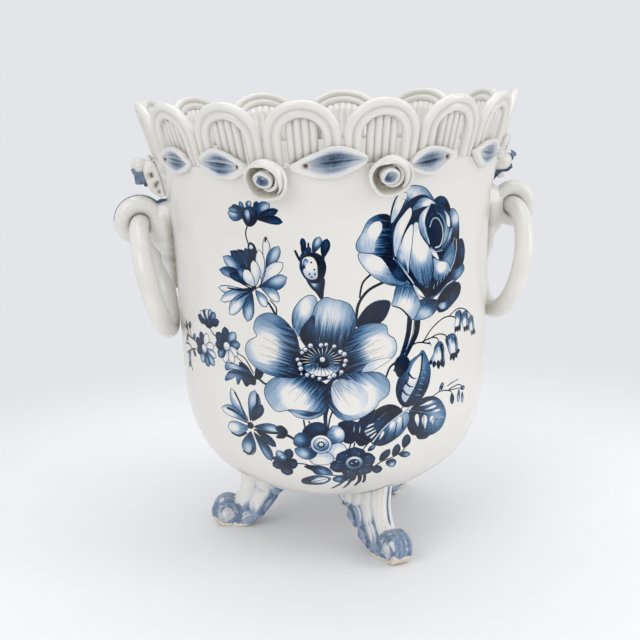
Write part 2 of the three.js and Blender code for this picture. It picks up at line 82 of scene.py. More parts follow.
# The garland
LEAF_ANGLES = [-61, -39.5, -8, 24, 48, 69]
LEAF_LENGTHS = [28, 29, 38, 28, 27, 26]
LEAF_WIDTHS = [14, 15, 15, 14.5, 14, 13.5]
LEAF_RISES = [1.5, 0.5, 1, 0, 0.5, 0.5]
LEAF_TILTS = [-4, -7, 3, 9, -6, 5]
LEAF_EDGE = 2.6
LEAF_CENTRE = 1.0
LEAF_LIFT = 0.3
LEAF_STATIONS = 56
ROSE_ANGLES = [-25.3, 9.3]
ROSE_DROP = 4.5
ROSE_RADIUS = 10.8
ROSE_SIDES = 56
ROSE_TWISTS = [0, 8]
SPRAY_DROP = 5.5
BUD_SIDES = 32
BUD_SHADE = -0.06

# The handles
RING_RADIUS = 29.1
RING_TUBE = 5.3
RING_DROP = 33.5
RING_REACH = 15.6
RING_TURN = 6
RING_GAP = 0.3

# The camera, fitted to the photograph
PHOTO_SIZE = 640
CAMERA_ANGLE = math.radians(-8)
CAMERA_DISTANCE = 620.0
CAMERA_HEIGHT = 253.5
CAMERA_FOCAL = 1155.8
CAMERA_PITCH = math.radians(12.33)
CAMERA_ROLL = math.radians(-1.99)
CAMERA_YAW = -0.0115


def mm(*values):
    return Vector(values) * METRES


def srgb(red, green, blue):
    """Linear colour of a shade given from 0 to 255"""

    def linear(value):
        share = value / 255
        return share / 12.92 if share <= 0.04045 else ((share + 0.055) / 1.055) ** 2.4

    return (linear(red), linear(green), linear(blue), 1.0)


def polar(radius, angle, z):
    return mm(radius * math.sin(angle), -radius * math.cos(angle), z)


def smoothstep(low, high, value):
    share = min(1.0, max(0.0, (value - low) / (high - low)))
    return share * share * (3 - 2 * share)


def hump(offset, width):
    """1 at no offset, falling off smoothly to either side"""
    return math.exp(-((offset / width) ** 2))


def rough(x, y, z):
    """Even noise from -1 to 1"""
    return noise.noise(Vector((x, y, z)))


def once_round(count):
    """Even steps of angle, once round"""
    return [2 * math.pi * k / count for k in range(count)]


# Surfaces of the bowl


def wall_radius(z):
    if z >= SHOULDER_Z:
        up = (z - SHOULDER_Z) / (RIM_Z - SHOULDER_Z)
        return BOWL_RADIUS + WALL_TAPER * up + LIP_FLARE * up**LIP_SHARPNESS
    down = min(1.0, (SHOULDER_Z - z) / (SHOULDER_Z - BOWL_BOTTOM_Z))
    return BOWL_RADIUS * (1 - down**BOTTOM_ROUNDNESS) ** (1 / BOTTOM_ROUNDNESS)


GALLERY_BASE = wall_radius(RIM_Z) - WALL / 2
GALLERY_RISE = (OVERALL_HEIGHT - BEAD_RADIUS - RIM_Z) / math.cos(GALLERY_LEAN)
GALLERY_MIDDLE = GALLERY_BASE + GALLERY_RISE / 2 * math.sin(GALLERY_LEAN)
STRAP_HALF = BEAD_PITCH / 2 + BEAD_RADIUS


def band_radius(z):
    """Outside of the wall below the rim and of the gallery above it"""
    if z <= RIM_Z:
        return wall_radius(z)
    cone = GALLERY_BASE + (z - RIM_Z) * math.tan(GALLERY_LEAN) + BEAD_RADIUS / math.cos(GALLERY_LEAN)
    return max(cone, wall_radius(RIM_Z))


def underside(radius):
    across = min(1.0, radius / BOWL_RADIUS)
    depth = (1 - across**BOTTOM_ROUNDNESS) ** (1 / BOTTOM_ROUNDNESS)
    return SHOULDER_Z - (SHOULDER_Z - BOWL_BOTTOM_Z) * depth


def rounded_bottom(radius, bottom, steps):
    """(radius, z) pairs from below the shoulder down to the axis"""
    power = 2 / BOTTOM_ROUNDNESS
    pairs = []
    for i in range(1, steps + 1):
        turn = math.pi / 2 * (1 - i / steps)
        z = SHOULDER_Z - (SHOULDER_Z - bottom) * math.cos(turn) ** power
        pairs.append((radius * math.sin(turn) ** power, z))
    return pairs


# Mesh helpers


def mesh_of(name, bm):
    mesh = bpy.data.meshes.new(name)
    bm.to_mesh(mesh)
    bm.free()
    return mesh


def in_scene(name, data):
    """A new object that holds this mesh, lamp or camera"""
    made = bpy.data.objects.new(name, data)
    bpy.context.scene.collection.objects.link(made)
    return made


def finished(name, bm, material, slot, *nodes):
    """Turns a bmesh into a smooth piece of the object that stands for those solids"""
    mesh = mesh_of(name, bm)
    mesh.shade_smooth()
    mesh.materials.append(material)
    piece = in_scene(name, mesh)
    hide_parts(*nodes)
    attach(piece, "root")


def loft(bm, rings, paint_and_shade_rings=None):
    """A closed skin through rings of points, made by extruding a face from ring to ring.
    The last argument gives, for point j of ring i, its value of paint and painted shade."""
    layer = bm.verts.layers.float.get("paint_and_shade") or bm.verts.layers.float.new("paint_and_shade")
    corners = [bm.verts.new(point) for point in rings[0]]
    face = bm.faces.new(corners)
    for i, ring in enumerate(rings):
        if i:
            last = face
            made = bmesh.ops.extrude_face_region(bm, geom=[face])["geom"]
            face = next(item for item in made if isinstance(item, bmesh.types.BMFace))
            if i > 1 and last.is_valid:
                bm.faces.remove(last)
        for j, loop in enumerate(face.loops):
            loop.vert.co = ring[j]
            loop.vert[layer] = paint_and_shade_rings[i][j] if paint_and_shade_rings else 0.0
    return bm


def tube(bm, rings):
    """A closed tube through rings of points, the last ring joined to the first"""
    rings = [[bm.verts.new(point) for point in ring] for ring in rings]
    for a, b in zip(rings, rings[1:] + rings[:1]):
        for k in range(len(a)):
            after = (k + 1) % len(a)
            bm.faces.new((a[k], a[after], b[after], b[k]))


def kept_off_wall(bm):
    """Moves what would be deep in the wall or the gallery out to just under its surface"""
    for vert in bm.verts:
        x, y, z = vert.co / METRES
        reach = math.hypot(x, y)
        limit = band_radius(z) - WALL_SINK
        if reach < limit:
            vert.co.x *= limit / reach
            vert.co.y *= limit / reach


def closed_up(bm):
    """Joins points that meet and turns all faces outwards"""
    bmesh.ops.remove_doubles(bm, verts=bm.verts, dist=JOIN_DISTANCE)
    bmesh.ops.recalc_face_normals(bm, faces=bm.faces)
    return bm


def fused(bm, voxel, rounds):
    """One even skin over overlapping closed shapes, smoothed as glaze smooths a join"""
    mesh = mesh_of("fused", bm)
    holder = in_scene("fused", mesh)
    remesh = holder.modifiers.new("remesh", "REMESH")
    remesh.mode = "VOXEL"
    remesh.voxel_size = voxel * METRES
    smooth = holder.modifiers.new("smooth", "SMOOTH")
    smooth.factor = 0.5
    smooth.iterations = rounds
    seen = holder.evaluated_get(bpy.context.evaluated_depsgraph_get())
    result = bmesh.new()
    result.from_mesh(seen.to_mesh())
    seen.to_mesh_clear()
    bpy.data.objects.remove(holder)
    bpy.data.meshes.remove(mesh)
    result.verts.layers.float.new("paint_and_shade")
    return result


# Materials


class Nodes:
    """Short words for building the node tree of a material or of the room"""

    def __init__(self, holder):
        self.holder = holder
        holder.use_nodes = True
        self.tree = holder.node_tree
        self.shader = self.tree.nodes.get("Principled BSDF")

    def add(self, kind, **values):
        node = self.tree.nodes.new(kind)
        for key, value in values.items():
            setattr(node, key, value)
        return node

    def join(self, source, target):
        self.tree.links.new(source, target)

    def fill(self, socket, value):
        if isinstance(value, bpy.types.NodeSocket):
            self.join(value, socket)
        else:
            socket.default_value = value

    def put(self, name, value):
        """Sets or joins one of the shader's own sockets"""
        self.fill(self.shader.inputs[name], value)

    def math(self, operation, *values, clamp=False):
        node = self.add("ShaderNodeMath", operation=operation, use_clamp=clamp)
        for socket, value in zip(node.inputs, values):
            self.fill(socket, value)
        return node.outputs[0]

    def times(self, *values, clamp=False):
        return self.math("MULTIPLY", *values, clamp=clamp)

    def plus(self, *values):
        return self.math("ADD", *values)

    def less(self, *values):
        return self.math("SUBTRACT", *values)

    def attribute(self, name):
        return self.add("ShaderNodeAttribute", attribute_name=name)

    def place(self):
        """Object coordinates in millimetres"""
        coordinates = self.add("ShaderNodeTexCoord")
        mapping = self.add("ShaderNodeMapping")
        mapping.inputs["Scale"].default_value = [1 / METRES] * 3
        self.join(coordinates.outputs["Object"], mapping.inputs["Vector"])
        return mapping.outputs[0]

    def noise(self, vector, scale, detail=2.0, roughness=0.5):
        node = self.add("ShaderNodeTexNoise")
        self.join(vector, node.inputs["Vector"])
        node.inputs["Scale"].default_value = scale
        node.inputs["Detail"].default_value = detail
        node.inputs["Roughness"].default_value = roughness
        return node.outputs["Fac"]

    def span(self, value, low, high, to_low=0.0, to_high=1.0):
        node = self.add("ShaderNodeMapRange", interpolation_type="SMOOTHSTEP")
        self.fill(node.inputs["Value"], value)
        ends = {"From Min": low, "From Max": high, "To Min": to_low, "To Max": to_high}
        for name, number in ends.items():
            node.inputs[name].default_value = number
        return node.outputs[0]

    def ramp(self, value, stops):
        node = self.add("ShaderNodeValToRGB")
        elements = node.color_ramp.elements
        elements[0].position, elements[0].color = stops[0]
        elements[1].position, elements[1].color = stops[-1]
        for position, color in stops[1:-1]:
            elements.new(position).color = color
        self.fill(node.inputs["Fac"], value)
        return node.outputs["Color"]

    def mix(self, share, first, second):
        node = self.add("ShaderNodeMix", data_type="RGBA")
        self.fill(node.inputs["Factor"], share)
        sockets = [socket for socket in node.inputs if socket.type == "RGBA"]
        self.fill(sockets[0], first)
        self.fill(sockets[1], second)
        return next(socket for socket in node.outputs if socket.type == "RGBA")

    def blend(self, share, first, second):
        """From one surface or light to another"""
        node = self.add("ShaderNodeMixShader")
        for socket, source in zip(node.inputs, (share, first, second)):
            self.join(source, socket)
        return node.outputs[0]


GLAZE = srgb(227, 225, 219)
BLUE_STOPS = [
    (0.0, GLAZE),
    (0.1, srgb(200, 207, 216)),
    (0.3, srgb(140, 166, 190)),
    (0.55, srgb(54, 99, 138)),
    (0.78, srgb(6, 40, 76)),
    (1.0, srgb(0, 7, 27)),
]
# Warm greys for painted shade: in the gallery's grooves, in the hollows, slits and pits of the modelled flowers and
# leaves, and on the handle pads beside the wall. The buds take only a faint cream tint from them.
WARM_STOPS = [
    (0.0, GLAZE),
    (0.4, srgb(200, 198, 190)),
    (0.75, srgb(164, 158, 144)),
    (1.0, srgb(74, 66, 54)),
]
RELIEF_STOPS = [
    (0.0, GLAZE),
    (0.25, srgb(204, 207, 211)),
    (0.55, srgb(140, 154, 172)),
    (0.8, srgb(86, 108, 134)),
    (1.0, srgb(34, 48, 70)),
]
FOOT_STOPS = [
    (0.0, GLAZE),
    (0.18, srgb(204, 206, 208)),
    (0.45, srgb(148, 162, 180)),
    (0.72, srgb(98, 121, 150)),
    (1.0, srgb(52, 74, 106)),
]
CLOUD_SHADE = srgb(190, 190, 178)
PINHOLE_SHADE = srgb(120, 96, 70)
PINHOLE_SCALE = 0.09
GLAZE_ROUGHNESS = 0.1
GLAZE_GLOSS = 0.5
GLAZE_COAT = 0.35
PRINT_GLOSS = 0.3
PRINT_COAT = 0.1
COAT_ROUGHNESS = 0.04
SKIN_STRENGTH = 0.25
SKIN_DEPTH = 0.0004
CLAY_SHADES = (srgb(228, 222, 208), srgb(194, 180, 156))


def glaze_surface(nodes, color, gloss=GLAZE_GLOSS, coat=GLAZE_COAT):
    """Shared gloss of the tin glaze: pinholes, faint clouding and a slightly uneven skin"""
    place = nodes.place()
    cloud = nodes.span(nodes.noise(place, 0.03, 3.0), 0.35, 0.7, 0.0, 0.06)
    clouded = nodes.mix(cloud, color, CLOUD_SHADE)
    cells = nodes.add("ShaderNodeTexVoronoi")
    nodes.join(place, cells.inputs["Vector"])
    cells.inputs["Scale"].default_value = PINHOLE_SCALE
    dot = nodes.span(cells.outputs["Distance"], 0.012, 0.03, 1.0, 0.0)
    rare = nodes.span(nodes.noise(place, 0.05, 1.0), 0.6, 0.64)
    speck = nodes.times(nodes.times(dot, rare), 0.6)
    speckled = nodes.mix(speck, clouded, PINHOLE_SHADE)
    nodes.put("Base Color", speckled)
    nodes.put("Roughness", GLAZE_ROUGHNESS)
    nodes.put("Specular IOR Level", gloss)
    nodes.put("Coat Weight", coat)
    nodes.put("Coat Roughness", COAT_ROUGHNESS)
    bump = nodes.add("ShaderNodeBump")
    bump.inputs["Strength"].default_value = SKIN_STRENGTH
    bump.inputs["Distance"].default_value = SKIN_DEPTH
    nodes.join(nodes.noise(place, 0.12, 2.0), bump.inputs["Height"])
    nodes.put("Normal", bump.outputs[0])


def printed_glaze():
    """White glaze over a blue print. The ink attribute gives each shape's ink at its foot and
    tip, its bright patch and its streaks; the petal UV map runs across and along the shape."""
    nodes = Nodes(bpy.data.materials.new("printed_glaze"))
    ink = nodes.add("ShaderNodeSeparateColor")
    inks = nodes.attribute("ink")
    nodes.join(inks.outputs["Color"], ink.inputs[0])
    along = nodes.add("ShaderNodeSeparateXYZ")
    uv = nodes.add("ShaderNodeUVMap", uv_map="petal")
    nodes.join(uv.outputs[0], along.inputs[0])
    u = nodes.math("ABSOLUTE", nodes.less(nodes.times(along.outputs[0], 2.0), 1.0))
    v = nodes.math("MINIMUM", nodes.math("MAXIMUM", along.outputs[1], 0.0), 1.0)
    foot, tip, light = ink.outputs[0], ink.outputs[1], ink.outputs[2]
    streak = inks.outputs["Alpha"]
    rise = nodes.span(v, 0.02, 0.75)
    depth = nodes.plus(foot, nodes.times(nodes.less(tip, foot), rise))
    side = nodes.times(nodes.math("POWER", u, 3.0), nodes.times(streak, 0.3))
    depth = nodes.plus(depth, side)
    patch_v = nodes.times(nodes.less(v, 0.7), 2.4)
    patch_u = nodes.times(u, 1.2)
    squares = nodes.plus(nodes.math("POWER", patch_v, 2.0), nodes.math("POWER", patch_u, 2.0))
    reach = nodes.math("SQRT", squares)
    patch = nodes.times(nodes.span(reach, 0.15, 0.95, 1.0, 0.0), light)
    depth = nodes.less(depth, patch)
    lines = nodes.add("ShaderNodeCombineXYZ")
    nodes.join(nodes.times(along.outputs[0], 26.0), lines.inputs[0])
    nodes.join(nodes.times(v, 2.6), lines.inputs[1])
    nodes.join(nodes.times(foot, 37.0), lines.inputs[2])
    strokes = nodes.less(nodes.noise(lines.outputs[0], 1.0, 2.0, 0.6), 0.5)
    fade = nodes.span(v, 0.15, 0.95, 1.0, 0.12)
    strokes = nodes.times(nodes.times(strokes, fade), nodes.times(streak, 1.9))
    depth = nodes.plus(depth, strokes)
    grain = nodes.less(nodes.noise(nodes.place(), 2.2, 2.0), 0.5)
    grain = nodes.plus(nodes.times(grain, 0.35), 1.0)
    depth = nodes.times(depth, grain, clamp=True)
    glaze_surface(nodes, nodes.ramp(depth, BLUE_STOPS), PRINT_GLOSS, PRINT_COAT)
    return nodes.holder


def relief_glaze(name, stops, clay=False):
    """Glaze over modelled clay. Above 0 the per-point value is paint in these stops: blue on the painted pieces, and
    warm-grey painted shade in the white glaze's grooves. Below 0 it is warm-grey painted shade, except on the feet,
    where it is bare clay.
    """
    nodes = Nodes(bpy.data.materials.new(name))
    paint_and_shade = nodes.attribute("paint_and_shade").outputs["Fac"]
    cloud = nodes.less(nodes.noise(nodes.place(), 0.55, 3.0), 0.5)
    uneven = nodes.plus(nodes.times(cloud, 0.6), 1.0)
    depth = nodes.times(paint_and_shade, uneven, clamp=True)
    color = nodes.ramp(depth, stops)
    if not clay:
        # Values below 0 are painted shade in warm greys
        shade = nodes.times(paint_and_shade, nodes.times(uneven, -1.0), clamp=True)
        color = nodes.mix(nodes.span(paint_and_shade, -0.01, 0.0, 1.0, 0.0), color, nodes.ramp(shade, WARM_STOPS))
    else:
        bare = nodes.span(paint_and_shade, -0.6, -0.3, 1.0, 0.0)
        grit = nodes.span(nodes.noise(nodes.place(), 1.1, 4.0, 0.7), 0.42, 0.62)
        color = nodes.mix(bare, color, nodes.mix(grit, *CLAY_SHADES))
        dry = nodes.plus(nodes.times(bare, 0.6), GLAZE_ROUGHNESS)
        nodes.put("Roughness", dry)
    glaze_surface(nodes, color)
    return nodes.holder


PRINTED = printed_glaze()
WHITE = relief_glaze("white_glaze", WARM_STOPS)
PAINTED = relief_glaze("painted_glaze", RELIEF_STOPS)
FOOT_GLAZE = relief_glaze("foot_glaze", FOOT_STOPS, clay=True)


# The print, drawn flat in millimetres: x along the wall from the bouquet's middle, y down
# from the rim as a negative number. Later shapes cover earlier ones.

PRINT_RADIUS = 83.0
SHEET_ROW = 3.0
SHEET_COLUMNS = 180
SHEET_START = -98  # degrees: the sheet's two ends meet between the bouquets
LINE = 0.4
PETAL_STEPS = 9
PRINT_CELL = 4.0
POINT_MERGE = 1e-4

# Inks: strength at the foot and at the tip, bright patch, streaks
INK = (0.97, 0.9, 0.0, 0.2)
EDGE = (0.82, 0.74, 0.0, 0.0)
DARK = (1.0, 0.84, 0.1, 0.6)
MID = (0.94, 0.6, 0.2, 0.6)
SOFT = (0.84, 0.42, 0.26, 0.6)
PALE = (0.58, 0.2, 0.3, 0.5)
BARE = (0.0, 0.0, 0.0, 0.0)
LIGHT = (0.2, 0.02, 0.2, 0.3)
OPEN = (0.98, 0.24, 0.5, 0.8)
TOP = (0.98, 0.36, 0.3, 0.8)
BELLY = (0.62, 0.14, 0.5, 0.6)

shapes = []


def curve(points, steps=5, closed=False):
    """A smooth line through a few chosen points"""
    count = len(points)
    spots = []
    for i in range(count if closed else count - 1):
        near = [k % count if closed else min(count - 1, max(0, k)) for k in (i - 1, i, i + 1, i + 2)]
        a, b, c, d = (Vector(points[k]) for k in near)
        for k in range(steps):
            t = k / steps
            spot = 2 * b + (c - a) * t + (2 * a - 5 * b + 4 * c - d) * t**2 + (3 * b - a - 3 * c + d) * t**3
            spots.append(spot / 2)
    if not closed:
        spots.append(Vector(points[-1]))
    return spots


def turned(vector):
    return Vector((-vector.y, vector.x))


def grown(outline, reach):
    """The outline moved outwards all round"""
    count = len(outline)
    area = sum(outline[i - 1].cross(outline[i]) for i in range(count))
    sign = -1 if area > 0 else 1
    spots = []
    for i in range(count):
        run = outline[(i + 1) % count] - outline[i - 1]
        side = turned(run).normalized() if run.length > 1e-6 else Vector((0, 0))
        spots.append(outline[i] + side * reach * sign)
    return spots


def shape(outline, ink, foot, tip, half, line):
    """One flat shape of the print, with a drawn line round it"""
    foot, tip = Vector(foot), Vector(tip)
    if line:
        shapes.append((grown(outline, line), EDGE, foot, tip, half))
    shapes.append((outline, ink, foot, tip, half))


def petal(foot, tip, width, ink, form, bend=0.0, line=LINE):
    """A petal or leaf from its foot to its tip. A form over 1 is broad at the tip, under 1 at
    the foot; bend bows it sideways by a share of its length."""
    foot, tip = Vector(foot), Vector(tip)
    run = tip - foot
    side = turned(run)
    outline = []
    for sign in (1, -1):
        for i in range(PETAL_STEPS):
            share = i / PETAL_STEPS if sign > 0 else 1 - i / PETAL_STEPS
            half = width / 2 * max(0.0, math.sin(math.pi * share**form)) ** (0.62 if form > 1 else 0.9)
            spot = foot + run * share + side * bend * math.sin(math.pi * share)
            outline.append(spot + side.normalized() * half * sign)
    shape(outline, ink, foot, tip, width / 2, line)


def petals(rows, form=1.5):
    """Petals as rows of foot, tip, width, ink and, for a bowed one, its bend"""
    for foot, tip, width, ink, *bend in rows:
        petal(foot, tip, width, ink, form, *bend)


def rosette(centre, rows, form=1.5):
    """Petals that all spring from one place, as rows without the foot"""
    for tip, width, ink, *bend in rows:
        petal(centre, tip, width, ink, form, *bend)


def blob(points, ink, foot, tip, half, line=LINE):
    """A broad petal whose edge runs through a few chosen points"""
    shape(curve(points, closed=True), ink, foot, tip, half, line)


def dot(centre, radius, ink=INK, line=0.0, count=12):
    centre = Vector(centre)
    outline = [centre + Vector((math.cos(turn), math.sin(turn))) * radius for turn in once_round(count)]
    shape(outline, ink, centre - Vector((0, radius)), centre + Vector((0, radius)), radius, line)


def stroke(points, start, end, ink=INK, steps=6, line=0.0):
    """A brush line through a few points, from one width to another"""
    spots = curve(points, steps)
    left, right = [], []
    for i, spot in enumerate(spots):
        run = spots[min(i + 1, len(spots) - 1)] - spots[max(i - 1, 0)]
        width = start + (end - start) * i / (len(spots) - 1)
        side = turned(run).normalized() * width / 2
        left.append(spot + side)
        right.append(spot - side)
    shape(left + right[::-1], ink, spots[0], spots[-1], max(start, end) / 2, line)


def strokes(rows, *how):
    """Brush lines of one kind, as rows of points and the widths at their start and end"""
    for points, start, end in rows:
        stroke(points, start, end, *how)


def towards(centre, degrees, reach):
    turn = math.radians(degrees)
    return Vector(centre) + Vector((math.cos(turn), math.sin(turn))) * reach


def hatch(foot, tip, spread, count, low, high, ink=DARK, width=0.34):
    """Fine strokes that fan out from a petal's foot"""
    foot, tip = Vector(foot), Vector(tip)
    run = tip - foot
    side = turned(run).normalized()
    for k in range(count):
        across = (2 * k / (count - 1) - 1) if count > 1 else 0.0
        wander = 0.16 * math.sin(k * 4.7)
        start = foot + run * (low + 0.05 * math.sin(k * 3.1)) + side * spread * across * (0.35 + 0.65 * low)
        end = foot + run * (high * (1 - 0.25 * across * across) + wander) + side * spread * across
        stroke([start, (start + end) / 2 + side * across * spread * 0.05, end], width, 0.08, ink, 2)


def anemone():
    """The wide open flower in the middle, with a ring of stamens"""
    blob([(-17, -82), (-19.5, -76), (-18.5, -69), (-14, -63.5), (-9.5, -62), (-7.5, -65), (-9, -70), (-13, -76)],
        PALE, (-16, -82), (-12, -62), 5)
    blob([(-14, -86), (-15.5, -79), (-10, -72), (-8, -67), (-3.5, -63.2), (1, -64.5), (4, -65), (8.5, -67.5),
        (10.6, -74), (9.5, -82), (5, -90), (-2, -94)], TOP, (-5, -92), (1, -63), 13)
    blob([(-14, -86), (-15.3, -79), (-10, -72), (-8.5, -73), (-9, -82), (-8, -90)], DARK, (-9, -90), (-11, -72), 4, 0)
    hatch((-4, -92), (1, -66), 7.5, 17, 0.12, 0.72)
    blob([(3, -93), (7.5, -84), (12, -78.5), (19, -77), (25.5, -78.5), (26.5, -83), (30, -86), (30.8, -91), (28, -95),
        (19, -97.5), (13, -101.5), (5, -102)], OPEN, (1, -96), (30, -87), 13)
    hatch((2, -96), (29, -86), 8.5, 17, 0.16, 0.68)
    blob([(28, -95), (19, -95.5), (15.5, -97), (13, -101.5), (20, -99.6)], LIGHT, (13, -101), (28, -95), 3, 0.25)
    blob([(-4, -106), (-4.5, -113), (-1.5, -120), (4, -124.4), (12, -123.6), (19, -119.5), (21.5, -116), (26, -113),
        (26.6, -107), (22, -102), (14, -101), (4, -101.5)], OPEN, (-2, -100), (19, -119), 15)
    blob([(0, -104), (-2, -112), (2, -120), (9, -122), (15, -117.5), (15.5, -111), (9, -105)],
        LIGHT, (0, -104), (9, -121), 8, 0)
    hatch((-3, -101), (14, -119), 8, 13, 0.2, 0.62, MID)
    blob([(-4.5, -106), (-4, -113), (-5.5, -120), (-12, -123.4), (-19, -122.6), (-23.5, -119.5), (-30, -120),
        (-35, -114), (-35, -108), (-29, -103), (-17, -101.5)], OPEN, (-7, -100), (-25, -119), 15)
    blob([(-24, -119), (-19.5, -121), (-13, -122.4), (-6, -119.5), (-10, -120), (-17, -119)],
        MID, (-6, -120), (-24, -120), 3, 0)
    hatch((-8, -101), (-22, -119), 9.5, 17, 0.18, 0.66, MID)
    blob([(-17, -88), (-18.5, -81), (-24, -74), (-31, -71), (-37.5, -73.5), (-40, -79), (-38.5, -83), (-43.5, -86),
        (-45.4, -91), (-42, -97), (-35, -101), (-26, -102.6), (-17, -101)], OPEN, (-12, -95), (-43, -86), 15)
    hatch((-13, -95), (-42, -84), 11, 21, 0.16, 0.66)
    stroke([(-19, -78), (-16.5, -83), (-14, -87)], 0.3, 0.45, LIGHT, 3)
    middle = Vector((-6, -94.5))

    def about(turn, reach):
        return middle + towards((0, 0), turn, reach) * Vector((1, 0.74))

    shape([about(k * 15, 12.6 + 0.7 * math.sin(k * 2.6)) for k in range(24)], INK, middle, about(90, 12), 12, 0.3)
    shape([about(200 + k * 14, 10.0) for k in range(11)] + [about(340, 3), about(270, 2.4), about(200, 3)],
        PALE, about(270, 2), about(270, 10), 10, 0)
    for k in range(26):
        turn = k * 360 / 26
        ink = PALE if turn < 200 or turn > 340 else DARK
        stroke([about(turn, 3.4), about(turn + 4, 9.6 + math.sin(k * 1.7))], 0.42, 0.2, ink, 2)
    dot(middle + Vector((0.8, -0.6)), 2.9, INK, 0, 16)
    dot(middle + Vector((0.3, 1.0)), 1.25, LIGHT)
    for k in range(19):
        turn = k * 360 / 19 + 4 * math.sin(k * 2.2)
        spot = about(turn, 11.4 + 0.5 * math.sin(k * 2.3))
        dot(spot, 1.0 + 0.12 * math.sin(k * 1.3), LIGHT, 0.34, 11)
        dot(spot + Vector((0.3, -0.35)), 0.42, SOFT, 0, 8)


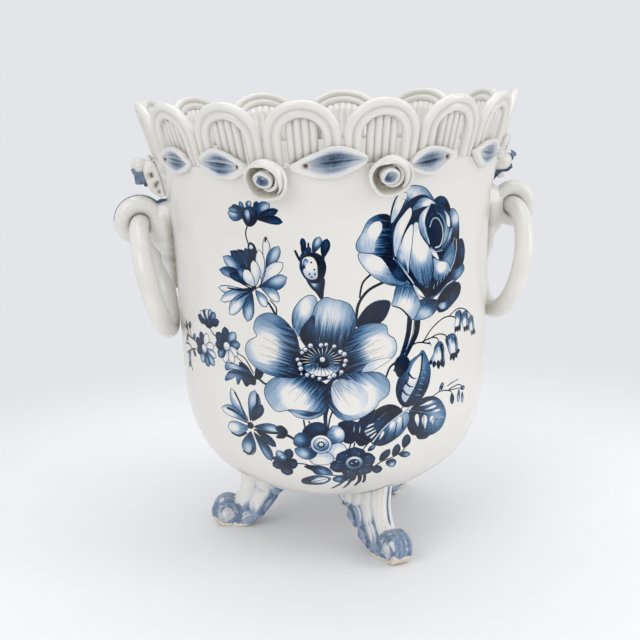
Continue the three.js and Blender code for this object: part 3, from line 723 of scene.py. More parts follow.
def big_rose():
    """The full rose: loose outer petals, and a cup wrapped in rolled petals round a dark heart"""
    blob([(55, -71), (56, -75.4), (61, -75.6), (66.5, -73), (71.5, -69.6), (73, -66), (71, -63.4), (65, -62.8),
        (58, -66.5)], DARK, (60, -67), (66, -74), 8)
    blob([(56, -72), (58, -74.6), (62, -74.4), (66, -72.2), (62, -71.4)], SOFT, (64, -71), (57, -74), 3, 0.2)
    blob([(60, -66), (68, -62), (73.5, -59.6), (76.2, -56.8), (74, -54), (68, -55), (62, -60)],
        MID, (62, -63), (75, -57), 5)
    blob([(68, -55.5), (70, -46), (70.5, -42.4), (74, -41.8), (76.4, -47), (75.6, -52.6), (73, -54.6)],
        DARK, (69, -50), (76, -47), 6)
    blob([(63, -26), (67, -26), (70.2, -30), (71.2, -37), (70.4, -46), (68, -44), (65.5, -36), (64, -30)],
        TOP, (66, -40), (69, -27), 5)
    blob([(53, -21), (56, -18.6), (60, -19.4), (63, -23), (63.8, -26.6), (59, -25.5)], DARK, (60, -26), (58, -18), 5)
    blob([(43, -69), (49, -68.5), (55.4, -70), (55, -73.6), (51, -76.8), (45, -77.8), (40, -76.6)],
        SOFT, (50, -68), (46, -78), 8)
    blob([(32, -59.4), (30, -66), (29.2, -69), (34, -71), (39.4, -77), (43, -73.8), (44.6, -70), (41, -63),
        (37.5, -59)], PALE, (39, -59), (35, -74), 8)
    stroke([(29.5, -69.4), (34, -71.3), (39, -76.8)], 0.5, 1.1)
    hatch((39, -60), (36, -73), 4, 7, 0.08, 0.5, MID)
    blob([(29.6, -46.5), (22, -42.8), (14, -42), (13.6, -46), (18.6, -52.6), (26, -57.8), (33, -59.6), (38, -58),
        (34, -52)], PALE, (36, -55), (15, -45), 9)
    blob([(29, -46), (22, -43), (26, -48), (31, -56), (37, -58), (35, -52)], DARK, (32, -47), (33, -57), 5, 0)
    blob([(29.6, -47), (30, -36), (29, -26.4), (24, -24.6), (18.4, -27), (15, -33), (12.2, -38), (13.4, -41.6),
        (20, -43), (26, -46)], TOP, (30, -38), (13, -36), 11)
    blob([(16, -41), (16.5, -34), (20, -28.6), (24, -28), (24.6, -32), (21, -38), (20.5, -42)],
        LIGHT, (20, -42), (21, -28), 4, 0)
    hatch((30, -40), (15, -34), 6, 9, 0.06, 0.42)
    blob([(29.2, -31), (29.4, -24), (31.4, -18), (35, -13.4), (40, -11.8), (46, -12.8), (50, -15.8), (53.6, -21.6),
        (47, -18), (41, -19), (36, -24), (32, -29)], TOP, (37, -24), (42, -12), 12)
    blob([(29.4, -29), (30.4, -22), (33.6, -15.4), (38, -15.6), (36, -19.6), (33, -25)],
        LIGHT, (31, -29), (36, -15), 3, 0.3)
    hatch((42, -20), (42, -13), 7, 9, 0.1, 0.5, MID)
    blob([(30, -33), (31, -29), (34, -26), (37, -21), (41, -18), (47, -17), (53.5, -21), (60, -24.5), (64, -29),
        (66, -36), (69, -41), (69.6, -47), (68, -54), (63, -60.4), (56, -66), (50, -68.6), (45, -66.4), (40.5, -61),
        (35, -53.5), (30.8, -46)], INK, (50, -68), (48, -18), 19)
    blob([(45, -63), (52, -64.5), (60, -60.5), (66, -54.5), (68, -47), (66, -42), (58, -50), (52, -58)],
        MID, (52, -64), (67, -46), 7, 0)
    blob([(31, -45), (30.4, -36), (32, -30), (36, -25.2), (39.4, -22.4), (40, -26), (37, -31.6), (34.6, -37),
        (33, -43.4)], LIGHT, (32, -45), (38.6, -23), 4, 0.25)
    blob([(32, -46), (34.6, -39), (37, -34), (40.4, -30.6), (40.8, -37), (39.6, -43), (38.4, -50), (37.6, -54)],
        LIGHT, (37, -53), (39, -31), 4, 0.25)
    blob([(32, -46), (34, -42), (37, -50), (37.4, -53.6)], SOFT, (37, -54), (34, -42), 3, 0)
    blob([(41.4, -30.6), (43.6, -30.2), (44.6, -35), (47, -39), (50.2, -43), (52, -48), (52.6, -54), (51, -59.4),
        (48.6, -62.6), (44, -59), (40.4, -54), (38.8, -50), (40.2, -42), (41, -36)], BELLY, (48, -62), (44, -33), 8)
    hatch((48, -62.4), (45, -45), 5, 11, 0.04, 0.5, MID)
    blob([(40.6, -24), (43, -19.8), (48, -18.2), (54, -21.6), (51, -22.4), (46, -22.6)],
        PALE, (41, -24), (52, -20), 3, 0.25)
    blob([(44, -31), (45, -26.4), (48.4, -23.4), (50.6, -22.6), (48.4, -26.6), (47.6, -31), (49.4, -36), (50.6, -42),
        (47, -37.6), (44.8, -34)], PALE, (50, -41), (48, -24), 4, 0.2)
    stroke([(46.8, -30), (48, -35), (50.4, -41)], 0.7, 0.4, LIGHT, 4)
    blob([(51, -22), (56, -22.8), (61, -26), (64, -30), (64, -35), (61.8, -40), (58.4, -43), (61, -36), (60, -30),
        (56, -26.6)], SOFT, (56, -23), (61, -40), 4, 0.25)
    blob([(60, -25.8), (63.6, -29.4), (64, -34), (62, -33), (61.4, -29)], LIGHT, (61, -26), (63, -34), 2, 0.15)
    stroke([(49.6, -38), (48.6, -32), (50.6, -27.6), (55, -26.4), (58.6, -29), (60.6, -34), (60, -40)],
        0.7, 0.5, PALE, 5)
    stroke([(50.6, -33), (52.4, -29.2), (55.6, -29.2), (58.4, -33), (59.2, -38), (57.4, -42.6), (54, -43.4)],
        0.6, 0.7, LIGHT, 5)
    stroke([(51, -42.6), (55, -44.6), (59.6, -43.6), (63, -40), (65, -35.6)], 0.5, 0.9, PALE, 5)
    stroke([(51.4, -43), (54.6, -45.4), (60, -45)], 0.4, 0.3, LIGHT, 5)
    blob([(62, -41.6), (64.4, -36), (66, -35), (64.8, -40), (61.6, -45), (58.6, -46)],
        SOFT, (59, -45.6), (65, -36), 2, 0.15)
    stroke([(57, -50.4), (61.6, -48.6), (65.4, -45), (67.6, -40)], 0.9, 0.4, PALE, 5)
    blob([(50.6, -43.4), (54, -45), (56.4, -49.4), (53.6, -47.8), (51.6, -46)],
        LIGHT, (51, -44), (56, -49), 1.6, 0.2)
    blob([(53, -48.6), (57.4, -50.6), (62, -51.6), (64.4, -55.6), (60, -58.4), (55.4, -60), (53, -57.4), (53.4, -53)],
        BELLY, (56, -60), (59, -51), 5)
    stroke([(64, -56.4), (67.4, -52), (69.2, -46), (69, -41)], 0.7, 0.4, LIGHT, 4)
    stroke([(31, -46.6), (36.4, -53.4), (41, -59.6)], 0.5, 0.7, PALE, 4)
    blob([(40.6, -60), (43, -61.8), (45.6, -64.6), (47.4, -67.4), (44, -65.6), (41.6, -63)],
        LIGHT, (41, -61), (47, -67), 1.6, 0)
    stroke([(46, -67), (50, -68), (56, -66.6), (62, -63), (67, -61.4)], 0.9, 0.5, PALE, 4)
    for k in range(6):
        stroke([(52.6 + k * 2.4, -63.6 + k * 1.3), (53.6 + k * 2.4, -61.4 + k * 1.4)], 0.3, 0.1, LIGHT, 2)


def side_aster():
    """A small flower seen from the side on a thin stem"""
    stroke([(-40.4, -28), (-41.8, -32.6), (-40.6, -37.6)], 0.8, 0.7)
    petals([((-42, -21.5), (-44, -17), 1.8, MID), ((-39.4, -20.5), (-38.6, -16.6), 2.6, SOFT, 0.1),
        ((-37, -21), (-34.6, -16.8), 2.6, DARK, -0.1), ((-42, -21), (-48.4, -19), 2.6, DARK, 0.05),
        ((-42, -24), (-51.2, -22.4), 4.8, SOFT, 0.1), ((-42, -22.4), (-50.6, -20.6), 2.8, MID, -0.05),
        ((-36, -23), (-28.4, -18), 4.6, SOFT, 0.1), ((-36, -24.4), (-24.4, -20.8), 3.4, DARK),
        ((-36, -25), (-22.4, -26.6), 3.8, DARK, 0.05)])
    blob([(-43.2, -21.6), (-42.6, -25.4), (-40.6, -28.4), (-37.6, -28.2), (-35, -25), (-34.8, -21.6), (-37.4, -19.6),
        (-41.4, -20)], DARK, (-38, -28), (-39, -19), 4)
    blob([(-41.6, -21.4), (-41.4, -25), (-39.6, -27.4), (-39, -24), (-39.6, -21)], SOFT, (-40, -28), (-40, -21), 2, 0)


def aster():
    """A many-petalled flower seen at a slant, dark behind and pale in front"""
    strokes([([(-35, -62.6), (-31, -66.5), (-28, -71.6)], 1.0, 1.2),
        ([(-30.6, -64.4), (-27.5, -68), (-27.6, -72)], 0.5, 0.9)])
    petals([((-42, -56), (-56.2, -44.6), 6.2, SOFT, -0.08), ((-40, -53), (-51.4, -41.6), 5.4, DARK, -0.12),
        ((-39, -52), (-47, -40.6), 4.6, DARK, -0.1), ((-38.6, -51), (-42.6, -39.8), 4.4, DARK, -0.06),
        ((-39, -58.6), (-59.4, -51.4), 5.2, MID, -0.1), ((-38, -58.6), (-53, -53), 5, DARK, -0.08),
        ((-38, -58), (-47.4, -50.8), 5, MID, -0.08)])
    for x, y in ((-49, -45), (-45.4, -43.6), (-42, -43), (-46.6, -48.4)):
        stroke([(x, y), (x + 2.4, y - 2.6), (x + 3.4, y - 5)], 0.55, 0.15, SOFT, 3)
    blob([(-40.8, -39), (-39.6, -36.9), (-37.4, -38.2), (-36.2, -42), (-35.8, -46.6), (-38.4, -48.6), (-40.6, -44)],
        INK, (-38, -48), (-39, -38), 3)
    blob([(-40.4, -39.4), (-39.4, -37.8), (-38.2, -39), (-39, -40)], LIGHT, (-39, -40), (-39, -38), 1, 0)
    petals([((-33, -52), (-31.4, -33.8), 3.6, LIGHT, -0.06), ((-31.6, -51.6), (-24.8, -38.4), 5.4, SOFT, 0.04),
        ((-33.6, -56), (-35, -40.2), 4.4, LIGHT, 0.02), ((-35, -57.6), (-23.2, -46.2), 5.8, LIGHT, 0.06),
        ((-36, -58.4), (-21.6, -53.2), 6.4, SOFT, -0.06), ((-35, -58.6), (-26, -65), 4.8, PALE, 0.12),
        ((-38, -60), (-32.6, -67.8), 4.4, PALE, 0.04), ((-40, -60.4), (-60.8, -60.4), 4, PALE, 0.04),
        ((-40, -61), (-59.8, -67), 4.6, PALE, -0.06), ((-41, -61), (-54.2, -73.2), 6.2, PALE, -0.04),
        ((-40, -61), (-43.4, -75.8), 6.2, SOFT, -0.04)])
    strokes([([(-55, -60), (-47, -60.4), (-39, -59.4)], 0.5, 2.0),
        ([(-50, -66), (-44, -62.4), (-39, -59.6)], 0.4, 1.6)], INK, 4)
    stroke([(-31, -33.8), (-31.6, -36.4)], 1.5, 0.7, INK, 2)
    petals([((-38, -58.4), (-38.4, -45.4), 4.8, LIGHT, -0.06), ((-38, -58.6), (-43.6, -50.2), 5.4, LIGHT, 0.06)])
    stroke([(-47, -56.6), (-39, -59.4), (-34.6, -56.4), (-32, -50)], 0.7, 0.5, INK, 5)
    dot((-38.4, -58.8), 1.1)


def rose_hip():
    """A round fruit on its calyx, crowned with thin sepals"""
    strokes([([(-13.6, -46), (-15.4, -43.6), (-17, -40)], 1.7, 1.1),
        ([(-12.6, -43.6), (-13.4, -39), (-13.2, -34.8)], 1.5, 1.5), ([(-10.4, -42), (-10.4, -36.4)], 1.4, 0.8)])
    petals([((-12.4, -41), (-13.2, -34.4), 2.2, DARK), ((-14.4, -44.4), (-11.6, -41.6), 2.6, DARK),
        ((-8.4, -41.6), (-5, -34), 3.6, SOFT), ((-3.8, -44), (-1.6, -35), 3.8, DARK),
        ((-11, -42.6), (-10.2, -38.6), 2.2, DARK)])
    stroke([(-3.6, -45.6), (-3.2, -43), (-2.6, -41)], 0.9, 0.9)
    blob([(-11.4, -53.6), (-4, -53.4), (-4.2, -60), (-5, -63.8), (-7.4, -60.4), (-10, -57.6)],
        INK, (-5, -63), (-8, -54), 4)
    blob([(-10.6, -54.6), (-7.4, -54.2), (-5.8, -57), (-6.4, -60), (-8.6, -57.8)], SOFT, (-7, -60), (-9, -55), 2, 0)
    blob([(-14.5, -46), (-13, -43), (-9.5, -41.4), (-6, -42.2), (-3.6, -44.6), (-2.7, -48.6), (-3.8, -53),
        (-5.6, -55.6), (-10, -55.4), (-13, -52.6), (-14.6, -49)], DARK, (-4, -48), (-14, -48), 7)
    blob([(-13.7, -46), (-12.4, -43.6), (-9, -43.4), (-7, -46), (-6.6, -49.6), (-7, -53.6), (-10.4, -54),
        (-13, -51.4)], LIGHT, (-7, -54), (-10, -45), 5, 0)
    blob([(-13.5, -46.4), (-12.2, -44), (-10.6, -45.4), (-12.4, -48), (-13.6, -50)],
        SOFT, (-14, -48), (-11, -46), 2, 0)
    for x, y in ((-12.6, -48.4), (-8, -49.4), (-10.4, -51.6), (-9.4, -46), (-9.4, -53), (-7.8, -51.6)):
        dot((x, y), 0.5, DARK)


def small_daisies():
    """The little flowers at the left edge"""
    strokes([([(-70.4, -81.4), (-67, -85), (-62, -87)], 0.6, 0.9),
        ([(-66, -91), (-71, -91.6), (-74, -93)], 0.5, 0.5)])
    rosette((-70, -79), [((-80, -77.2), 3.8, DARK, 0.1), ((-77.6, -74.6), 3, PALE), ((-74.4, -73.4), 3, DARK),
        ((-71.6, -72.8), 3.2, LIGHT), ((-68, -72.6), 3.4, SOFT), ((-64.6, -74), 3.6, MID),
        ((-62.2, -77.8), 3.6, DARK, -0.1)])
    blob([(-74, -79), (-70, -78), (-66.4, -79.4), (-69.6, -82.2), (-73, -81.4)], DARK, (-70, -82), (-70, -78), 3)
    rosette((-57.6, -90), [((-58, -80.2), 4.8, DARK), ((-51.4, -82.4), 4.8, SOFT), ((-48.8, -88), 4.4, MID),
        ((-50.4, -93.6), 4.2, LIGHT), ((-53.6, -98), 4.4, LIGHT), ((-59.4, -98.4), 4.2, LIGHT),
        ((-64, -96), 4.8, MID), ((-65.8, -90), 4.4, DARK), ((-64.8, -84.2), 5.4, DARK)])
    dot((-57.6, -90), 2.1, LIGHT, 0.5)
    rosette((-76, -94), [((-78.6, -85.6), 4.4, DARK), ((-72, -85.8), 4.6, LIGHT), ((-67.4, -91), 4, LIGHT),
        ((-66, -96.6), 4, PALE), ((-67.8, -101.4), 4.4, SOFT), ((-73, -103), 4.6, MID), ((-79, -101.6), 4.6, SOFT),
        ((-83.8, -96.6), 4.2, DARK), ((-84.4, -90.4), 4.6, DARK)], 1.7)
    dot((-76, -94), 2.2, LIGHT, 0.5)
    for points in ([(-84, -92), (-88, -91), (-98, -90)], [(-85, -96), (-90, -97), (-100, -101)],
            [(-90, -91), (-92, -86), (-94, -84)], [(-93, -90), (-97, -87), (-102, -86)],
            [(-90, -97), (-95, -95), (-101, -96)], [(-94, -99), (-94, -105), (-92, -109)]):
        stroke(points, 0.8, 1.3, DARK)
    petals([((-88, -91), (-84.6, -88), 2, MID), ((-92, -86), (-90, -82.6), 2.6, DARK),
        ((-95, -90), (-99, -94), 2.6, DARK), ((-89, -97), (-86, -100), 2.2, DARK),
        ((-93, -98), (-97, -104), 2.8, MID), ((-94, -104), (-98, -108), 2.6, DARK),
        ((-95, -88), (-97, -83), 2.4, DARK)], 1.1)


def lobed_leaf():
    """The torn leaf under the daisies, on the knot of its stems"""
    strokes([([(-51.4, -92.4), (-46, -95), (-41.6, -102)], 0.5, 0.8),
        ([(-52, -94.4), (-48, -97), (-43, -102)], 0.4, 0.6), ([(-39, -104), (-36, -106.4), (-33.6, -107)], 1.3, 1.2)])
    petal((-42.6, -103), (-49.8, -97.4), 3.2, INK, 1.2)
    blob([(-42, -103), (-47, -101.6), (-54, -101), (-59, -102.2), (-58.4, -98.8), (-52, -98.8), (-46, -100.4)],
        SOFT, (-42, -103), (-58, -99), 3)
    blob([(-41, -104), (-46, -102.2), (-52, -101.6), (-57, -103.2), (-60, -107.8), (-55, -106), (-52.6, -104.4),
        (-51.4, -108.8), (-49, -105.4), (-46.4, -109), (-44, -107.6), (-41, -107.6)],
        MID, (-41, -104), (-60, -106), 4)
    stroke([(-42, -103.8), (-49, -102.8), (-57, -103.4)], 0.8, 0.4, INK, 4)
    blob([(-40.6, -103.8), (-39.4, -98), (-37, -97), (-35.8, -100.4), (-38, -104.4)], INK, (-38, -104), (-38, -97), 2)


def long_flower():
    """The flower of long petals at the lower left"""
    petals([((-46, -127), (-56.2, -111.6), 5.4, PALE, 0.1), ((-45, -127), (-41.4, -110.8), 6.8, SOFT, -0.06),
        ((-43.6, -127), (-37.4, -118), 5.6, DARK, 0.04), ((-46, -128.6), (-64, -123.2), 5.8, PALE, -0.1),
        ((-46, -130.6), (-60.4, -133.4), 7.8, PALE, 0.04), ((-45, -133), (-48.6, -148.2), 8.6, SOFT),
        ((-43.4, -133), (-34.2, -149.6), 5.4, MID, 0.06), ((-42, -131.8), (-31.2, -140), 4, DARK, 0.05),
        ((-43, -130), (-28, -130.4), 4.8, SOFT, 0.03)])
    stroke([(-43, -131.6), (-36, -132.2), (-28, -132)], 1.3, 1.5)
    stroke([(-60, -122.4), (-54, -123.6), (-48, -126.6)], 1.4, 0.8, INK, 4)
    strokes([([(-54, -113), (-51, -118), (-48, -124.6)], 1.2, 0.9),
        ([(-40, -112.4), (-40.4, -117), (-43, -124)], 1.5, 1.0),
        ([(-58, -136), (-53, -137), (-47.6, -134)], 1.2, 1.2), ([(-51.6, -146), (-47, -147), (-44, -142)], 1.4, 1.3)],
        DARK, 4)
    dot((-45, -129.6), 2.0)
    blob([(-30.6, -129.4), (-27.4, -128), (-24.6, -131), (-26.6, -134.4), (-30.4, -134.4), (-28.6, -132)],
        INK, (-25, -131), (-30, -131), 3)
    stroke([(-25.4, -132.6), (-22.4, -134), (-19.6, -136.4)], 1.7, 1.1)


def foot_flowers():
    """The light flower, the dark flower and the sprigs round them at the foot of the bouquet"""
    strokes([([(-16, -124), (-15.4, -129)], 0.9, 0.9), ([(-13.6, -124.6), (-11.6, -128)], 0.9, 0.7)])
    stroke([(-3.6, -116), (-5.2, -122), (-5, -129)], 2.2, 1.8, DARK)
    stroke([(-1.8, -120), (-3.2, -124), (-4, -129)], 0.9, 0.7)
    blob([(1.2, -126.2), (2, -129.6), (3.8, -132.4), (3.4, -136), (7, -137.2), (9, -136), (11.4, -139), (15, -138),
        (17, -136.2), (14.2, -133.4), (13.4, -130.4), (16, -127), (18.2, -123.6), (18.8, -120.2), (13, -122.4),
        (10.6, -126), (6, -124.8)], INK, (8, -138), (12, -122), 8)
    strokes([([(9, -126), (8.4, -131)], 0.8, 0.3), ([(11.8, -126.4), (11.2, -131.6)], 1.1, 0.4)], SOFT, 3)
    for points in ([(6.8, -137.4), (5.4, -142.4)], [(8.8, -137), (7.6, -142)], [(15.6, -137.6), (12.6, -141.6)]):
        stroke(points, 0.8, 0.6)
    petal((15.4, -142.4), (18.8, -139.6), 2, MID, 1.1)
    # Dark five-petalled flower
    rosette((-26.5, -149.5), [((-23.6, -140.8), 4.6, DARK), ((-33.4, -147.2), 3, DARK), ((-30.4, -142.4), 4.6, SOFT),
        ((-33.4, -153.6), 6, DARK), ((-26, -159.6), 6.2, DARK), ((-20.4, -150.8), 7, DARK)])
    blob([(-30.6, -147), (-28, -144.8), (-25.6, -146), (-27.6, -148.6)], SOFT, (-28, -149), (-28, -145), 2, 0)
    # Leaves between the two flowers
    strokes([([(-20.6, -149.6), (-16, -150), (-12.6, -151.6)], 0.8, 0.8), ([(-3.4, -158), (0.6, -158.8)], 0.8, 1.0)])
    blob([(-3, -157.8), (-4.2, -153.6), (-8, -151.2), (-13, -150.8), (-16.6, -151.6), (-12.8, -154.4),
        (-10.6, -157.2), (-6.4, -157.6)], MID, (-14, -151), (-5, -157), 3)
    blob([(-4.2, -160.4), (-5, -163.8), (-8.4, -166.6), (-13, -167.4), (-17.8, -166.6), (-18.2, -162.4),
        (-14, -159.4), (-9.6, -158.4)], MID, (-17, -163), (-6, -162), 5)
    blob([(-13.6, -163.6), (-10, -160.4), (-5.4, -160.6), (-6, -163.6), (-9.6, -165.2), (-14, -165)],
        LIGHT, (-14, -164), (-6, -161), 2, 0)
    stroke([(-15, -165), (-10.4, -163.4), (-5.6, -161)], 0.9, 0.3, DARK, 3)
    # Light flower
    blob([(-16.6, -130.6), (-13.6, -126.8), (-9, -125.4), (-5, -127.2), (-3.4, -131), (-6, -134), (-11, -134),
        (-14.6, -135.4)], DARK, (-8, -134), (-10, -126), 7)
    blob([(-4.6, -131.6), (-2.4, -128), (1, -127.8), (3.6, -130.8), (3.2, -135), (0, -137.8), (-3.4, -135.4)],
        PALE, (-4, -134), (3, -130), 4)
    blob([(-2.6, -138), (1.4, -136.8), (4.2, -139.6), (4.2, -143), (0.6, -146.2), (-2.8, -144.6), (-4.6, -141)],
        LIGHT, (-4, -139), (3, -143), 4)
    blob([(-8, -142.6), (-4, -142.6), (-2, -146.4), (-4.2, -149.4), (-8, -150), (-12, -149.4), (-13.6, -146),
        (-11, -142.4)], LIGHT, (-8, -142), (-8, -149), 5)
    blob([(-12, -139.8), (-17, -139.4), (-20.8, -140.4), (-19.8, -144), (-16, -146.4), (-12.4, -145.6),
        (-10.2, -142.6)], SOFT, (-11, -141), (-19, -144), 4)
    blob([(-12.6, -138), (-17, -139.2), (-21, -138), (-21, -134), (-18, -131.2), (-14.8, -132.4), (-12, -135.4)],
        MID, (-12, -137), (-21, -134), 4)
    dot((-7.8, -137.4), 5.1, LIGHT, 0.4, 22)
    dot((-7.8, -137.6), 3.7, PALE, 0.3, 18)
    for k in range(9):
        turn = k * 40
        dot(towards((-7.8, -137.5), turn, 1.5), 0.55, INK if k % 2 else DARK)
    # Dark flower over its hanging leaves
    strokes([([(3.4, -158), (2, -165), (-3.4, -172)], 1.6, 0.9), ([(7, -158), (5.8, -165), (2.4, -172)], 1.9, 0.8),
        ([(10.8, -157), (10.8, -164), (8.2, -169.6)], 2.2, 1.2),
        ([(13.4, -157), (13.4, -163), (12.6, -166.6)], 1.3, 1.3),
        ([(8.4, -158), (7.6, -162.6), (5, -164.4)], 2.0, 1.4)], DARK, 5, 0.15)
    blob([(1.6, -158.4), (-2.2, -160.6), (-1.8, -163.4), (1, -164.8), (4.2, -163.2), (5.4, -160)],
        MID, (4, -159), (-1, -163), 3)
    rosette((8, -149.5), [((9, -139.8), 10.4, DARK), ((18.8, -147.4), 9, DARK), ((16.4, -157.6), 9.6, DARK),
        ((6, -160), 9, DARK), ((-3.8, -152.6), 8.6, DARK), ((0.2, -143.4), 8.6, DARK)])
    for turn, reach in ((118, 7), (60, 7), (20, 9), (-20, 8.4), (-70, 8.4), (-120, 8), (165, 8.6)):
        stroke([towards((8, -149.5), turn, 4.6), towards((8, -149.5), turn + 6, reach)], 0.7, 0.2, MID, 2)
    dot((8.2, -149.6), 4.3, PALE, 0.2, 18)
    dot((8.2, -149.6), 2.9, DARK, 0, 14)
    dot((7, -150), 0.8, SOFT)
    dot((9.4, -148.8), 0.7, PALE)
    # Berry sprig
    stroke([(16.6, -155), (22, -150.6), (28, -148.6), (33.6, -145.6), (35.4, -142)], 0.9, 0.7)
    petals([((21.4, -149.8), (26.4, -143.2), 3.8, DARK), ((28.6, -148), (31, -140.8), 3.8, DARK, -0.05),
        ((34.4, -143.6), (36.2, -136), 4.4, DARK, -0.05), ((31.6, -147), (38, -149), 3.4, MID)], 1.1)
    blob([(18, -154), (17.8, -157), (20.4, -158.8), (22.4, -156), (20.4, -153)], DARK, (20, -153), (20, -158), 2)
    blob([(25, -150.8), (25.4, -153.6), (28.4, -155.6), (30, -152.6), (28.4, -150)], SOFT, (28, -150), (28, -155), 2)


def bells():
    """The hanging bell flowers on the right"""
    strokes([([(33, -95), (38, -91), (43, -89.2), (50.6, -91)], 0.6, 0.8),
        ([(45, -89.4), (51, -88), (55, -89), (56.4, -92)], 0.7, 0.6),
        ([(49, -88.6), (55, -87), (60, -88), (62, -90.4)], 0.6, 0.7), ([(46, -89.4), (51, -83.8), (58, -79.8),
        (64, -79.2), (68.6, -80.8)], 0.7, 0.7), ([(63, -79.4), (70, -76.6), (77, -78), (83, -82), (86, -86)],
        0.6, 0.7)], INK, 5)
    stroke([(49.4, -90), (51.4, -92.2)], 1.2, 0.6, SOFT, 2)
    blob([(55.4, -91.4), (58, -91.8), (59.4, -95), (59.4, -99), (59.8, -103.4), (56, -102.4), (52.8, -101),
        (50.4, -99.8), (52.6, -97), (53.4, -93.6)], BELLY, (57, -91), (55, -102), 4, 0.5)
    stroke([(57.6, -92.4), (58.4, -97), (58.4, -102)], 1.5, 1.7, DARK, 4)
    stroke([(56, -93.6), (55.4, -97), (55.6, -101)], 1.5, 1.1, LIGHT, 4)
    for tip in ((49.6, -100.8), (52.4, -103.6), (56, -105), (59.4, -104.8)):
        petal((54.6 + (tip[0] - 54.6) * 0.6, -100.2), tip, 2.4, INK, 0.9, line=0.15)
    blob([(61.2, -90.2), (64.4, -88.8), (68, -89.6), (69.8, -93), (70.2, -97.4), (69.6, -100), (65.4, -100),
        (62.4, -94.4)], BELLY, (65, -89), (68, -100), 4, 0.5)
    stroke([(67.6, -90.6), (68.8, -94), (69.2, -98.6)], 1.6, 1.5, MID, 4)
    stroke([(64, -91), (65, -94.6), (67, -98)], 2.2, 1.6, LIGHT, 4)
    for tip in ((64.4, -102.2), (67.2, -103), (70, -101.8), (72.4, -98.6)):
        petal((67.6 + (tip[0] - 67.6) * 0.4, -98.6), tip, 2.4, INK, 0.9, line=0.15)
    for x, y, lean in ((71, -78, -1.6), (77, -79.4, 0.2), (83.6, -83, 1.4)):
        blob([(x - 2, y - 0.6), (x + 1.4, y), (x + 3.2, y - 3), (x + 3 + lean, y - 8.6), (x - 1 + lean, y - 8.4),
            (x - 2.2, y - 4)], BELLY, (x, y), (x + lean, y - 8), 3, 0.45)
        stroke([(x + 1.6, y - 1), (x + 2.2, y - 4.4), (x + 2 + lean, y - 8)], 1.3, 1.2, MID, 3)
        for step in (-1.6, 0.6, 2.8):
            petal((x + 1 + lean + step * 0.6, y - 7.4), (x + 1 + lean * 1.4 + step, y - 10.6), 1.8, INK, 0.9,
                line=0.15)


